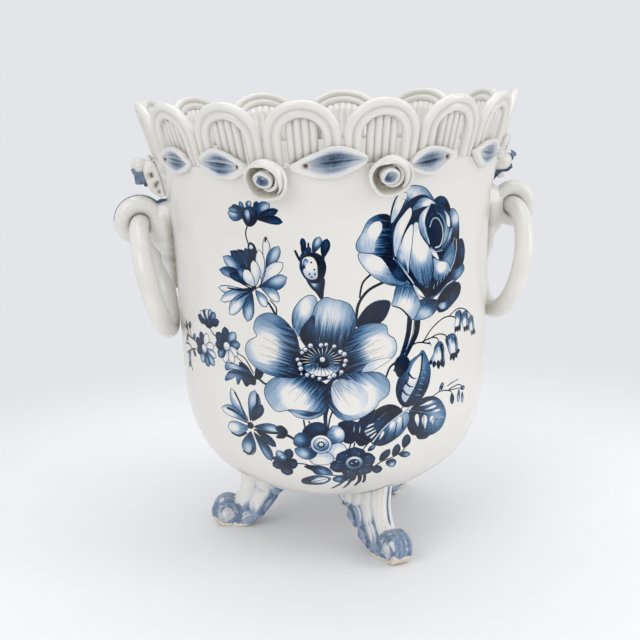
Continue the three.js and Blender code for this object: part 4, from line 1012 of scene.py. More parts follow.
def right_leaves():
    """The leaves at the lower right, each half dark and half lit"""
    blob([(11, -77.6), (13, -73), (17, -68.4), (22, -66.2), (27.8, -67.2), (26.2, -73), (22.6, -76.8), (17, -77.2)],
        INK, (11, -77), (27, -67), 5)
    # Upright leaf
    blob([(45.8, -93.8), (48.6, -98.6), (50.2, -105), (48.8, -112), (44.6, -117.8), (38, -120.8), (33.6, -119.8),
        (30.8, -114.8), (30.8, -109), (33.4, -103.4), (38, -98.4), (43.6, -95.4)], MID, (34, -121), (46, -95), 10)
    blob([(44.6, -96.2), (40.8, -98.8), (38.2, -103), (37.2, -107.6), (34.4, -111), (33.4, -116), (36, -118.4),
        (40.4, -112.4), (43.4, -106), (44.8, -100)], LIGHT, (35, -118), (44, -97), 4, 0)
    for x, y in ((36.6, -108.6), (38.4, -104.6), (35, -112.6)):
        stroke([(x - 1.4, y + 1), (x + 1, y - 2), (x + 3.4, y - 2.6)], 1.3, 0.4, MID, 3)
    stroke([(45.4, -95), (44.4, -104), (41, -111.6), (36, -118.4), (32.4, -122)], 1.0, 0.6, INK, 4)
    for k in range(5):
        stroke([(44.8 - k * 1.4, -103 - k * 3), (47.4 - k * 0.8, -105.6 - k * 2.7)], 0.45, 0.15, SOFT, 2)
    # Broad leaf
    blob([(37.2, -124.4), (41, -120.4), (46, -118.2), (52, -118.6), (57, -121.8), (60.4, -127.6), (60.6, -132),
        (57.8, -136.8), (53, -139), (50, -139.2), (47.4, -140.6), (43, -139.8), (41.4, -137.4), (38.6, -136),
        (36.2, -130.4)], MID, (38, -124), (60, -132), 10)
    blob([(42, -122.6), (46, -119.6), (51, -119.8), (55, -122.4), (50, -123.2), (46, -123.4)],
        MID, (41, -123), (55, -121), 2, 0)
    for foot, tip, width in (((42.4, -133), (41.6, -125.6), 2.8), ((47, -135.4), (46.2, -127), 3.4),
            ((51.8, -133.6), (50.8, -128.6), 2.8), ((43, -121.8), (52, -120.8), 1.6),
            ((46, -124.4), (54.4, -123.6), 1.5), ((50, -126.4), (57, -126.4), 1.3)):
        petal(foot, tip, width, LIGHT, 1.8, line=0)
    stroke([(36, -122.6), (43, -124.6), (51, -127.4), (60, -131.6)], 0.5, 0.3, PALE, 4)
    for k in range(5):
        stroke([(43 + k * 3, -126.4 - k * 1.2), (43.6 + k * 2.4, -132), (43 + k * 2.6, -137.6)], 0.5, 0.2, INK, 3)
    # Low leaf
    blob([(33.2, -123.4), (30.6, -120), (26, -118.6), (20, -120.4), (15, -125.4), (13, -131), (15, -135),
        (18, -136.6), (22, -131.6), (27, -127.4)], DARK, (33, -124), (14, -132), 6)
    for points in ([(13.8, -131.4), (18.4, -129.6)], [(14.4, -133.4), (19.4, -131)], [(16, -135.6), (19.6, -132.6)],
            [(14.6, -128.8), (18.6, -127.4)]):
        stroke(points, 1.3, 0.4, LIGHT, 2)
    stroke([(30, -122.6), (25, -122.6), (20.4, -125.6)], 0.6, 0.3, SOFT, 3)
    blob([(35, -123.4), (37.2, -126), (36.4, -130), (33, -134.6), (28, -138), (22.6, -140), (18.2, -138.8),
        (17.4, -136.2), (21.6, -132), (27, -128), (31, -125)], SOFT, (19, -138), (36, -125), 5)
    for foot, tip, width in (((25.8, -132.8), (28.8, -127.4), 2.2), ((31, -130.4), (32.2, -125.4), 2.4),
            ((21, -136.8), (23.6, -132), 1.4)):
        petal(foot, tip, width, LIGHT, 1.5, line=0)
    for points in ([(23, -138), (26.6, -130.6)], [(28.6, -136.6), (30.6, -128)], [(33.6, -132.6), (33.8, -126)]):
        stroke(points, 1.1, 0.5, DARK, 2)
    stroke([(38.6, -121), (31, -125.2), (24, -130), (17.6, -137.6)], 0.8, 0.6, LIGHT, 4)
    # Knot of the stems
    blob([(31, -103.8), (30, -98.6), (31.6, -95.4), (35, -94.4), (37.8, -98), (36.4, -101.6), (33, -104.8)],
        INK, (33, -104), (34, -95), 3)
    stroke([(31.4, -97), (27.4, -99.6), (25, -104.8)], 1.2, 1.0)
    # Grass at the right
    for points in ([(50, -119), (57, -116.6), (64, -118), (66, -120.4)], [(61, -117.2), (69, -118), (76, -118.8)],
            [(63, -117), (71, -116.2), (76, -119)], [(62, -115), (66, -114), (71, -113.4)],
            [(56, -116.4), (57, -113.6), (59, -112.8)]):
        stroke(points, 0.6, 0.6, MID, 4)
    petals([((65.4, -119.6), (66.2, -125.4), 2.8, DARK), ((71.6, -119), (71, -125.6), 2, SOFT),
        ((74.6, -121), (75.2, -127), 1.8, SOFT), ((73, -118.6), (77, -119.2), 1.8, MID),
        ((57.4, -116), (58.6, -112.6), 1.8, MID)], 1.2)


def bouquet():
    """The large spray of flowers on the front, from what lies behind to what lies on top"""
    strokes([([(38.6, -75), (37.4, -84), (34, -94), (30, -102)], 2.6, 2.0),
        ([(43, -76), (42, -84), (38, -91), (33, -99)], 3.2, 1.8)], DARK, 6, 0.2)
    stroke([(41, -78), (39.6, -85), (35, -94)], 0.5, 0.3, PALE)
    strokes([([(25.5, -57), (17.5, -60.5), (12.4, -67), (10.6, -76), (7, -85), (3, -90)],
        1.4, 1.5), ([(18.6, -53), (14.6, -57), (13, -64)], 1.1, 0.9)], DARK)
    bells()
    right_leaves()
    side_aster()
    aster()
    rose_hip()
    small_daisies()
    lobed_leaf()
    long_flower()
    foot_flowers()
    anemone()
    big_rose()


# The printed bowl


def outer_line():
    """(radius, z, run) down the outside from the rim to the middle of the underside"""
    pairs = []
    wall_steps = 110
    rim_edge = RIM_Z - WALL / 2 * math.tan(GALLERY_LEAN)
    for i in range(wall_steps + 1):
        z = rim_edge + (SHOULDER_Z - rim_edge) * i / wall_steps
        pairs.append((wall_radius(z), z))
    pairs += rounded_bottom(BOWL_RADIUS, BOWL_BOTTOM_Z, wall_steps)
    line = []
    run = 0.0
    for i, (radius, z) in enumerate(pairs):
        if i:
            run += math.hypot(radius - pairs[i - 1][0], z - pairs[i - 1][1])
        line.append((radius, z, run))
    return line


OUTER_LINE = outer_line()
UNPRINTED_RADIUS = 24.0


def on_outer(run):
    """Radius and height of the outside at a distance down from the rim"""
    low, high = 0, len(OUTER_LINE) - 1
    while high - low > 1:
        middle = (low + high) // 2
        if OUTER_LINE[middle][2] > run:
            high = middle
        else:
            low = middle
    a, b = OUTER_LINE[low], OUTER_LINE[high]
    share = (run - a[2]) / max(1e-9, b[2] - a[2])
    return a[0] + (b[0] - a[0]) * share, a[1] + (b[1] - a[1]) * share


def bouquet_copies():
    """The drawn shapes laid on the sheet: x is the arc at the print radius, y the run down"""
    placed = []
    for centre in (math.degrees(CAMERA_ANGLE), math.degrees(CAMERA_ANGLE) + 180):
        middle = math.radians(centre) * PRINT_RADIUS
        for outline, ink, foot, tip, half in shapes:

            def laid(spot, middle=middle):
                radius = on_outer(max(0.0, -spot.y))[0]
                return Vector((middle + spot.x * PRINT_RADIUS / radius, -spot.y))

            placed.append(([laid(p) for p in outline], ink, laid(foot), laid(tip), half))
    return placed


def winding(outline, x, y):
    """How often an outline goes round a place"""
    turns = 0
    a = outline[-1]
    for b in outline:
        if (a.y <= y) != (b.y <= y):
            side = (b.x - a.x) * (y - a.y) - (x - a.x) * (b.y - a.y)
            if side > 0 and b.y > a.y:
                turns += 1
            elif side < 0 and b.y < a.y:
                turns -= 1
        a = b
    return turns


def print_owners(found, triangles, placed):
    """For each triangle the topmost shape that covers its middle, or None"""
    cells = {}
    middles = []
    for k, triangle in enumerate(triangles):
        middle = (found[triangle[0]] + found[triangle[1]] + found[triangle[2]]) / 3
        middles.append((middle.x, middle.y))
        cells.setdefault((int(middle.x // PRINT_CELL), int(middle.y // PRINT_CELL)), []).append(k)
    owners = [None] * len(triangles)
    for number, (outline, *_) in enumerate(placed):
        low_x, high_x = min(p.x for p in outline), max(p.x for p in outline)
        low_y, high_y = min(p.y for p in outline), max(p.y for p in outline)
        for i in range(int(low_x // PRINT_CELL), int(high_x // PRINT_CELL) + 1):
            for j in range(int(low_y // PRINT_CELL), int(high_y // PRINT_CELL) + 1):
                for k in cells.get((i, j), ()):
                    x, y = middles[k]
                    if low_x <= x <= high_x and low_y <= y <= high_y and winding(outline, x, y):
                        owners[k] = number
    return owners


def sheet_mesh(bm, last_run):
    """The outer wall as one triangulated sheet with the print's outlines worked into it"""
    uv = bm.loops.layers.uv.new("petal")
    colour = bm.loops.layers.float_color["ink"]
    start_x = math.radians(SHEET_START) * PRINT_RADIUS
    rows = round(last_run / SHEET_ROW)
    spots = []
    for i in range(SHEET_COLUMNS + 1):
        for j in range(rows + 1):
            x = start_x + 2 * math.pi * PRINT_RADIUS * i / SHEET_COLUMNS
            spots.append(Vector((x, last_run * j / rows)))
    edges = []
    for j in range(rows):
        edges.append((j, j + 1))
        edges.append((SHEET_COLUMNS * (rows + 1) + j, SHEET_COLUMNS * (rows + 1) + j + 1))
    placed = bouquet_copies()
    for outline, *_ in placed:
        start = len(spots)
        spots.extend(outline)
        edges.extend((start + i, start + (i + 1) % len(outline)) for i in range(len(outline)))
    found, _, triangles, _, _, _ = delaunay_2d_cdt(spots, edges, [], 0, POINT_MERGE, False)
    owners = print_owners(found, triangles, placed)
    verts = []
    for spot in found:
        radius, z = on_outer(min(last_run, max(0.0, spot.y)))
        verts.append(bm.verts.new(polar(radius, spot.x / PRINT_RADIUS, z)))
    for triangle, owner in zip(triangles, owners):
        face = bm.faces.new([verts[k] for k in triangle])
        if owner is None:
            for corner in face.loops:
                corner[colour] = BARE
            continue
        _, ink, foot, tip, half = placed[owner]
        run = tip - foot
        length = max(0.01, run.length)
        run.normalize()
        side = turned(run)
        for corner, k in zip(face.loops, triangle):
            offset = found[k] - foot
            across = offset.dot(side) / max(0.01, half)
            corner[uv].uv = (0.5 + 0.5 * max(-1, min(1, across)), offset.dot(run) / length)
            corner[colour] = ink


def spun(bm, pairs):
    """Turns a line of (radius, z) pairs about the axis, starting at the back"""
    colour = bm.loops.layers.float_color["ink"]
    before = len(bm.faces)
    verts = [bm.verts.new(polar(radius, -math.pi, z)) for radius, z in pairs]
    edges = [bm.edges.new(pair) for pair in zip(verts, verts[1:])]
    bmesh.ops.spin(bm, geom=verts + edges, cent=(0, 0, 0), axis=(0, 0, 1), angle=2 * math.pi,
                   steps=SHEET_COLUMNS, use_merge=True)
    bm.faces.ensure_lookup_table()
    for face in bm.faces[before:]:
        for corner in face.loops:
            corner[colour] = BARE


def inside_line():
    """(radius, z) pairs from the rim's outer edge over the rim and down the inside"""
    slope = math.tan(GALLERY_LEAN)
    outer = wall_radius(RIM_Z)
    pairs = [(outer, RIM_Z - WALL / 2 * slope)]
    for share in (0.06, 0.25, 0.5, 0.75, 0.94):
        across = WALL * share
        bulge = 0.25 * math.sin(math.pi * share) ** 0.5
        pairs.append((outer - across, RIM_Z + (share - 0.5) * WALL * slope + bulge))
    inner_top = RIM_Z + WALL / 2 * slope - RIM_ROUNDING
    wall_steps = 30
    for i in range(wall_steps + 1):
        z = inner_top + (SHOULDER_Z - inner_top) * i / wall_steps
        pairs.append((wall_radius(min(z, RIM_Z)) - WALL, z))
    return pairs + rounded_bottom(BOWL_RADIUS - WALL, BOWL_BOTTOM_Z + FLOOR, wall_steps)


def make_bowl():
    bouquet()
    bm = bmesh.new()
    bm.loops.layers.float_color.new("ink")
    spun(bm, inside_line())
    last_run = next(run for radius, _, run in OUTER_LINE if radius < UNPRINTED_RADIUS)
    spun(bm, [on_outer(last_run)] + [(r, underside(r)) for r in (18.0, 12.0, 6.0, 0.0)])
    sheet_mesh(bm, last_run)
    finished("bowl_printed", closed_up(bm), PRINTED, "white_glaze", "bowl")


# The gallery


def gallery_point(angle, x, h, n):
    """A place on the leaning cone: x along it, h up it, n out from its middle"""
    radius = GALLERY_BASE + h * math.sin(GALLERY_LEAN) + n * math.cos(GALLERY_LEAN)
    z = RIM_Z + h * math.cos(GALLERY_LEAN) - n * math.sin(GALLERY_LEAN)
    return polar(radius, angle + x / GALLERY_MIDDLE, z)


def gallery_plan():
    """(angle, half width) of each arch"""
    total = sum(ARCH_WIDTHS)
    edge = FIRST_ARCH_ANGLE - ARCH_WIDTHS[0] / total * 180
    plan = []
    for width in ARCH_WIDTHS:
        span = width / total * 360
        plan.append((math.radians(edge + span / 2), GALLERY_MIDDLE * math.radians(span) / 2 - ARCH_GAP / 2))
        edge += span
    return plan


def strap_section():
    """Two round coils pressed side by side, as (across, out, groove) triples; groove sets how much painted shade lies
    in the crease between the coils
    """
    waist = 1.05
    right = []
    for degrees in range(-140, 141, 28):
        turn = math.radians(degrees)
        groove = smoothstep(95, 140, abs(degrees))
        right.append((BEAD_PITCH / 2 + BEAD_RADIUS * math.cos(turn), BEAD_RADIUS * math.sin(turn), groove))
    left = [(-across, out, groove) for across, out, groove in reversed(right)]
    return right + [(0, waist, 1.0)] + left + [(0, -waist, 1.0)]


def make_arch(letter, angle, half_width, wobble):
    section = strap_section()
    across = half_width - STRAP_HALF
    rise = GALLERY_RISE - BEAD_PITCH / 2
    crown = min(across, CROWN_RISE)
    leg = (ARCH_FOOT, 0.4, (rise - crown) * 0.5)
    path = [(-across, h, -1.0, 0.0) for h in leg]
    crown_steps = 36
    for i in range(crown_steps + 1):
        turn = math.pi * (1 - i / crown_steps)
        normal = Vector((math.cos(turn) / across, math.sin(turn) / crown)).normalized()
        path.append((across * math.cos(turn), rise - crown + crown * math.sin(turn), normal.x, normal.y))
    path += [(across, h, 1.0, 0.0) for h in reversed(leg)]
    rings = []
    for i, (x, h, side, up) in enumerate(path):
        swell = 0.975 + 0.05 * rough(i * 0.35, wobble, 0)
        ring = [(x + side * a * swell, h + up * a * swell, n * swell) for a, n, _ in section]
        rings.append([gallery_point(angle, *place) for place in ring])
    # Painted shade, warm grey, in the crease between the coils
    paint_and_shade = [ARCH_GROOVE_SHADE * groove for _, _, groove in section]
    bm = loft(bmesh.new(), rings, [paint_and_shade] * len(rings))
    finished(f"arch_{letter}", closed_up(bm), WHITE, "white_glaze", f"gallery_arch_{letter}")


def opening_height(half_width, x):
    """Height of an arch's opening at x from its middle"""
    across = half_width - STRAP_HALF
    crown = min(across, CROWN_RISE)
    share = min(1.0, abs(x) / (across - STRAP_HALF))
    springing = GALLERY_RISE - BEAD_PITCH / 2 - crown
    return springing + (crown - STRAP_HALF) * math.sqrt(1 - share * share)


def make_tongue(letter, angle, half_width, wobble):
    """A slab combed into upright ribs, set back between an arch's legs"""
    width = 2 * (half_width - 2 * STRAP_HALF - TONGUE_SLIT)
    count = max(2, round(width / TONGUE_RIB_PITCH))
    front = TONGUE_THICKNESS / 2 - TONGUE_RECESS
    back = front - TONGUE_THICKNESS
    stations = count * 8
    levels = (0.0, 0.25, 0.5, 0.75, 1.0)
    rings, paint_and_shade_rings = [], []
    for i in range(stations + 1):
        share = i / stations
        x = (share - 0.5) * width
        ridge = abs(math.sin(math.pi * share * count)) ** 0.6
        edge = min(1.0, share * count * 2, (1 - share) * count * 2)
        depth = TONGUE_GROOVE * 1.25 * (1 - ridge) + 0.35 * (1 - edge)
        top = opening_height(half_width, x) - 0.15 - 0.5 * (1 - ridge)
        ring = []
        for level in levels:
            wander = 0.35 * rough(level * 2, wobble, 3)
            ring.append((x + wander, TONGUE_FOOT + (top - TONGUE_FOOT) * level, front - depth))
        ring += [(x, h, back + 0.4 * (1 - ridge)) for _, h, _ in reversed(ring)]
        rings.append([gallery_point(angle, *place) for place in ring])
        # Painted shade in the grooves between the ribs, stronger on the front than on the back
        paint_and_shade_rings.append([TONGUE_GROOVE_SHADE * (1 - ridge) ** 1.5] * len(levels) + [0.2 * (1 - ridge)] * len(levels))
    bm = loft(bmesh.new(), rings, paint_and_shade_rings)
    finished(f"tongue_{letter}", closed_up(bm), WHITE, "white_glaze", f"gallery_tongue_{letter}")


def make_gallery():
    for i, (angle, half_width) in enumerate(gallery_plan()):
        letter = "abcdefghijklmn"[i]
        make_arch(letter, angle, half_width, i * 3.1)
        make_tongue(letter, angle, half_width, i * 1.7)


# The garland


def seat(angle, level, reach=ROSE_RADIUS):
    """Where a modelled flower sits: its own Z points out from the sloping band"""
    low, high = band_radius(level - reach), band_radius(level + reach)
    slope = math.atan2(high - low, 2 * reach)
    turn = Matrix.Rotation(angle, 4, "Z") @ Matrix.Rotation(math.pi / 2 + slope, 4, "X")
    return Matrix.Translation(polar((low + high) / 2, angle, level)) @ turn @ Matrix.Scale(METRES, 4)


def leaf_section():
    """(side, height) pairs: the flat back, then over the rolled edges and the hollow"""
    pairs = [(side / 4, 0.0) for side in range(-4, 5)]
    pairs += [(0.985, 0.45), (0.94, 0.8)]
    pairs += [(side / 18, 1.0) for side in range(16, -17, -1)]
    return pairs + [(-0.94, 0.8), (-0.985, 0.45)]


def make_leaf(number, side, turn):
    angle = math.radians(LEAF_ANGLES[number] + turn)
    length, width = LEAF_LENGTHS[number], LEAF_WIDTHS[number]
    level = RIM_Z + LEAF_RISES[number]
    tilt = math.radians(LEAF_TILTS[number])
    seed = number * 5.3 + turn
    heart = 0.62 + 0.08 * math.sin(seed)
    rings, paint_and_shade_rings = [], []
    for i in range(LEAF_STATIONS + 1):
        share = 0.012 + 0.976 * i / LEAF_STATIONS
        along = (share - 0.5) * length
        run = 1 - share if number % 2 else share
        bow = 0.9 * math.sin(math.pi * share + seed)
        body = min(1.0, 3.2 * math.sin(math.pi * share) ** 0.7)
        dent = math.sin(math.pi * min(1.0, max(0.0, (run - 0.17) / 0.79))) ** 0.6
        ring, paint_and_shade = [], []
        for across, height in leaf_section():
            fall = run**1.35 if across > 0 else run**1.05
            half = width / 2 * math.sin(math.pi * fall) ** 0.8 + 0.15
            half *= 1 + 0.07 * rough(share * 5, seed, across)
            offset = abs(across)
            x = along * math.cos(tilt) - across * half * math.sin(tilt)
            y = along * math.sin(tilt) + across * half * math.cos(tilt) + bow * 0.4
            lift, paint = 0.0, 0.0
            if height:
                inner = offset / (0.08 + 0.74 * dent)
                dish = LEAF_EDGE - (LEAF_EDGE - LEAF_CENTRE) * (1 - smoothstep(0.45, 1.0, inner)) * min(1.0, dent * 2)
                vein = hump(across - 0.04, 0.05)
                ridge = hump(across - 0.16, 0.07)
                comb = rough(inner * 4.5 * (1 if across > 0 else -1), share * 0.7, seed)
                hollow = (1 - smoothstep(0.7, 1.35, inner)) * dent
                lift = dish + (0.5 * ridge - 0.6 * vein) * hollow + 0.75 * comb * hollow
                lift = body * lift * (height if height < 1 else 1.0)
                pool = hump(run - heart, 0.2)
                paint = (1 - smoothstep(0.45, 1.05, inner)) * dent * (0.42 + 0.27 * pool)
                paint = paint * (1 + 0.8 * comb) + 0.08 * dent * (1 - smoothstep(0.9, 1.7, inner))
                paint += 0.5 * vein * dent * smoothstep(0.35, 0.5, run) * (1 - smoothstep(0.84, 0.92, run))
                # Dark warm-grey painted shade at the leaf's pit
                pit_shade = hump(run - 0.235, 0.04) * hump(across, 0.3)
                paint = -1.2 * pit_shade if pit_shade > 0.25 else paint
            z = level + y
            radius = band_radius(z) + (LEAF_LIFT + lift if height else -WALL_SINK)
            ring.append(polar(radius, angle + x / band_radius(level), z))
            paint_and_shade.append(paint)
        rings.append(ring)
        paint_and_shade_rings.append(paint_and_shade)
    bm = loft(bmesh.new(), rings, paint_and_shade_rings)
    finished(f"leaf_{side}_{number + 1}", closed_up(bm), PAINTED, "painted_glaze", f"leaf_{side}_{number + 1}")


def rose_flap(bm, start, end, outer, inner, low, high):
    """A petal laid round the flower's edge, thick at its crest and rolled in at its inner side, with painted shade
    under the roll.
    outer and inner are its radii at even steps from start to end."""
    section = [(0, 0.0), (0.12, 0.5), (0.35, 0.9), (0.6, 1.0), (0.85, 0.72), (1.0, 0.2), (0.96, -0.15),
               (0.75, 0.1), (0.45, 0.15), (0.15, -0.3)]
    stations = 40
    rings, paint_and_shade_rings = [], []
    for i in range(stations + 1):
        share = i / stations
        turn = math.radians(start + (end - start) * share)
        step = min(len(outer) - 2, int(share * (len(outer) - 1)))
        part = smoothstep(0, 1, share * (len(outer) - 1) - step)
        far = outer[step] + (outer[step + 1] - outer[step]) * part
        near = inner[step] + (inner[step + 1] - inner[step]) * part
        body = math.sin(math.pi * (0.03 + 0.94 * share)) ** 0.55
        ring, paint_and_shade = [], []
        for across, height in section:
            radius = far + (near - far) * across
            ring.append((radius * math.cos(turn), radius * math.sin(turn), low + (high - low) * height * body))
            # Painted shade on the low underside of the rolled-in inner edge
            paint_and_shade.append(-0.3 if across > 0.7 and height < 0.5 else 0.0)
        rings.append(ring)
        paint_and_shade_rings.append(paint_and_shade)
    loft(bm, rings, paint_and_shade_rings)


def turned_rings(line, ripple=0.0, offset=(0, 0), lean=0.0, count=ROSE_SIDES):
    """Rings from a line of radius and z, with a waved rim, off the middle and leaning with height"""
    rings = []
    for radius, z, *_ in line:
        ring = []
        for turn in once_round(count):
            wide = radius * (1 + ripple * (0.03 * math.cos(2 * turn + 1) + 0.02 * math.sin(5 * turn)))
            wave = ripple * smoothstep(7.5, 10.4, radius) * 0.7 * math.sin(3 * turn + 2)
            x = wide * math.cos(turn) + offset[0] * (1 + lean * z)
            ring.append((x, wide * math.sin(turn) + offset[1] * (1 + lean * z), z + wave))
        rings.append(ring)
    return rings


# Radius, height and paint of the dish and of the rolled heart, from the foot over the lip to the middle. Paint above
# 0 is blue; below 0 it is painted shade, deep in the dish's hollow and at the foot of the roll.
ROSE_DISH = [
    (3.0, 0.2, 0), (6.6, 0.5, 0), (9.0, 2.0, 0), (10.2, 4.4, 0), (10.45, 5.8, 0), (10.3, 6.8, 0), (9.7, 7.3, 0),
    (9.0, 6.9, -0.15), (8.5, 5.6, -0.5), (7.6, 3.8, -0.74), (6.0, 2.8, -0.8), (4.2, 2.4, -0.82), (0.4, 2.4, -0.82),
]
ROSE_ROLL = [
    (4.4, 1.6, -0.7), (4.5, 4.0, -0.5), (4.5, 6.0, -0.15), (4.5, 7.4, 0), (4.2, 8.2, 0), (3.6, 8.3, 0.15),
    (2.9, 7.8, 0.7), (2.2, 6.9, 0.9), (1.3, 6.3, 0.85), (0.3, 6.1, 0.7),
]


def set_on_band(name, bm, place):
    """Puts a modelled flower in its seat, just into the wall"""
    closed_up(bm)
    bmesh.ops.transform(bm, matrix=place, verts=bm.verts)
    kept_off_wall(bm)
    finished(name, bm, PAINTED, "painted_glaze", name)


def make_rose(name, angle, twist):
    place = seat(angle, RIM_Z - ROSE_DROP) @ Matrix.Rotation(twist, 4, "Z")
    bm = bmesh.new()
    loft(bm, turned_rings(ROSE_DISH, 1.0), [[paint] * ROSE_SIDES for _, _, paint in ROSE_DISH])
    roll = turned_rings(ROSE_ROLL, 1.0, (-0.7, 0.5), 0.04)
    for ring in roll[3:]:
        for k, (x, y, z) in enumerate(ring):
            ring[k] = (x, y, z + 1.3 * math.cos(2 * math.pi * k / len(ring) - math.radians(80)))
    # The heart's paint thins towards one side
    thin = [0.45 * (0.5 + 0.5 * math.cos(k * math.pi / 28 - 0.4)) for k in range(ROSE_SIDES)]
    loft(bm, roll, [[paint * (1 - part * (paint > 0)) for part in thin] for _, _, paint in ROSE_ROLL])
    rose_flap(bm, 148, -52, [10.2, 10.4, 10.2, 9.2, 8.6], [9.2, 6.4, 5.7, 6.1, 7.6], 5.4, 9.4)
    rose_flap(bm, 75, -120, [6.9, 7.0, 6.8, 6.4, 5.6], [4.6, 4.4, 4.0, 3.8, 4.0], 3.4, 7.4)
    rose_flap(bm, 215, 60, [5.2, 5.4, 5.2], [3.8, 3.2, 3.0], 4.2, 8.9)
    set_on_band(name, bm, place)


def clay_leaf(bm, front, spine, halves, normal, paint, slits=()):
    """A flat clay leaf along a spine, its face turned to normal, with rolled edges and dark painted shade at its
    slits.
    x points to the front when front is 1; slits are (share, side) places."""
    section = [(-1, -0.1), (-0.8, 0.5), (-0.45, 0.42), (0, 0.3), (0.45, 0.42), (0.8, 0.5), (1, -0.1),
               (0.8, -0.5), (0.4, -0.7), (0, -0.75), (-0.4, -0.7), (-0.8, -0.5)]
    normal = Vector(normal).normalized()
    line = curve([Vector((*point, half)).to_tuple() for point, half in zip(spine, halves)], 8)
    rings, paint_and_shade_rings = [], []
    for i, (x, y, z, half) in enumerate(line):
        before, after = line[max(0, i - 1)], line[min(len(line) - 1, i + 1)]
        run = Vector([after[k] - before[k] for k in range(3)]).normalized()
        across = run.cross(normal).normalized()
        share = i / (len(line) - 1)
        thick = 1.5 * min(1.0, 0.2 + 3 * math.sin(math.pi * (0.01 + 0.98 * share)))
        ring, paint_and_shade = [], []
        for side, face in section:
            wave = 0.25 * math.sin(share * 16 + side * 2)
            point = Vector((x, y, z)) + across * side * max(0.1, half) + normal * (face * thick + wave * abs(side))
            ring.append((point.x * front, point.y, max(-1.5, point.z)))
            # Painted shade, near black, on the leaf's face at each slit
            dark = sum(math.exp(-(((share - at) / 0.035) ** 2) - ((side - to) / 0.35) ** 2) for at, to in slits)
            edge = 0.12 if paint > 0 and abs(side) > 0.7 else 0.0
            paint_and_shade.append(-min(1.0, 1.3 * dark) if dark > 0.15 and face > 0 else paint + edge)
        rings.append(ring)
        paint_and_shade_rings.append(paint_and_shade)
    loft(bm, rings, paint_and_shade_rings)


# Spine, half widths, facing, paint and slits of each leaf: x to the front, y up, z out. Paint below 0 is warm-grey
# painted shade, as is the dark at the slits.
SPRAY_BACK = [
    ([(-3, 1, 3), (-6, -2, 2.6), (-7, -8, 0.6)], [2.0, 3.2, 0.5], (-0.6, 0, 1), 0.0, [(0.6, 0)]),
    ([(-1, 4, 2), (-6, 5.5, 2.4), (-11, 5, 1)], [1.5, 2.6, 0.4], (0, 0.3, 1), 0.0, [(0.5, 0)]),
]
LEFT_SPRAY = [
    ([(4.5, 6.5, 2.8), (6, 3, 3.0), (6.5, -2, 3.2), (6.5, -8, 3.0), (6, -14.5, 1.4)], [1.2, 3.5, 4.2, 3.8, 1.4],
     (1, 0.1, 0.25), 0.0, [(0.45, 0.1), (0.52, 0.05), (0.68, -0.3), (0.74, 0.0), (0.86, 0.1)]),
    ([(1.5, 2.5, 5.0), (2.6, 0.5, 7.2), (3.2, -1.8, 9.6), (2.6, -3.8, 12.8)], [2.2, 4.3, 4.2, 0.4],
     (1, 0.2, 0), 0.72, []),
    ([(2, 0.5, 8.0), (3, 2.2, 10.8), (2.6, 4.2, 12.4)], [1.6, 1.8, 0.3], (1, 0.1, 0.1), 0.6, []),
    ([(1.5, -2, 4.0), (2.4, -4.5, 6.5), (2.0, -6.6, 8.8)], [2.0, 2.6, 0.4], (1, 0, 0.1), 0.85, []),
    *SPRAY_BACK,
]
RIGHT_SPRAY = [
    ([(5, 3.2, -0.5), (5.4, 3.8, 3.5), (4.6, 3.0, 8.2)], [1.2, 2.2, 0.5], (1, 0.5, 0), 0.0, [(0.5, -0.9)]),
    ([(3, 1.5, 6.0), (3.2, 2.6, 9.0), (3, 2.2, 11.8)], [1.0, 2.0, 0.5], (1, 0.2, 0.1), 0.7, []),
    ([(3, 1.4, 9.4), (3, -0.4, 9.8), (2.8, -2.4, 9.6)], [1.6, 0.9, 0.2], (1, 0, 0), 0.8, []),
    ([(2.6, -3.4, 11.4), (3.8, -4.8, 8.6), (4.4, -7.2, 5.0), (4.2, -11, 2.6), (3.6, -15, 2.2)],
     [1.2, 2.5, 1.8, 1.6, 0.3], (1, 0, 0), 0.92, []),
    ([(3.6, -8.4, 3.4), (4, -9.8, 5.8), (3.4, -9.8, 8.4)], [1.6, 2.0, 0.5], (1, -0.1, 0), -0.15, []),
    ([(6, -2, 0.6), (6, -7, 0.6), (5, -11, -0.6)], [2.8, 3.4, 0.6], (1, 0, 0.6), 0.0, [(0.5, 0.2)]),
    *SPRAY_BACK,
]


def make_spray(name, angle, front, bud, leaves):
    """A folded bud on a mound of clay, with leaves about it; bud is its (x, y, z, size)"""
    place = seat(angle, RIM_Z - SPRAY_DROP)
    bm = bmesh.new()
    x0, y0, z0, size = bud
    pairs = [(0.4, -4.6), (2.2, -4.2), (3.6, -2.8), (4.4, -0.8), (4.5, 1.2), (4.0, 2.9), (2.8, 4.2), (1.4, 4.8),
             (0.3, 5.0)]
    rings = []
    for ring in turned_rings(pairs, count=BUD_SIDES):
        lifted = []
        for k, (x, y, z) in enumerate(ring):
            fold = (1 + 0.06 * math.cos(k * math.pi / 16 * 3 + z * 0.55)) * size
            lifted.append(((x * fold + x0) * front, y * fold + y0 + 0.15 * z, z * size * 1.1 + z0))
        rings.append(lifted)
    loft(bm, rings, [[BUD_SHADE] * BUD_SIDES] * len(rings))
    mound = [(6.5, -1.5), (6.2, 0.6), (5.2, 2.4), (3.8, 4.0), (1.6, 4.8), (0.3, 5.0)]
    loft(bm, turned_rings(mound, 1.0, (0.8 * front, -1.5)))
    for leaf in leaves:
        clay_leaf(bm, front, *leaf)
    set_on_band(name, bm, place)


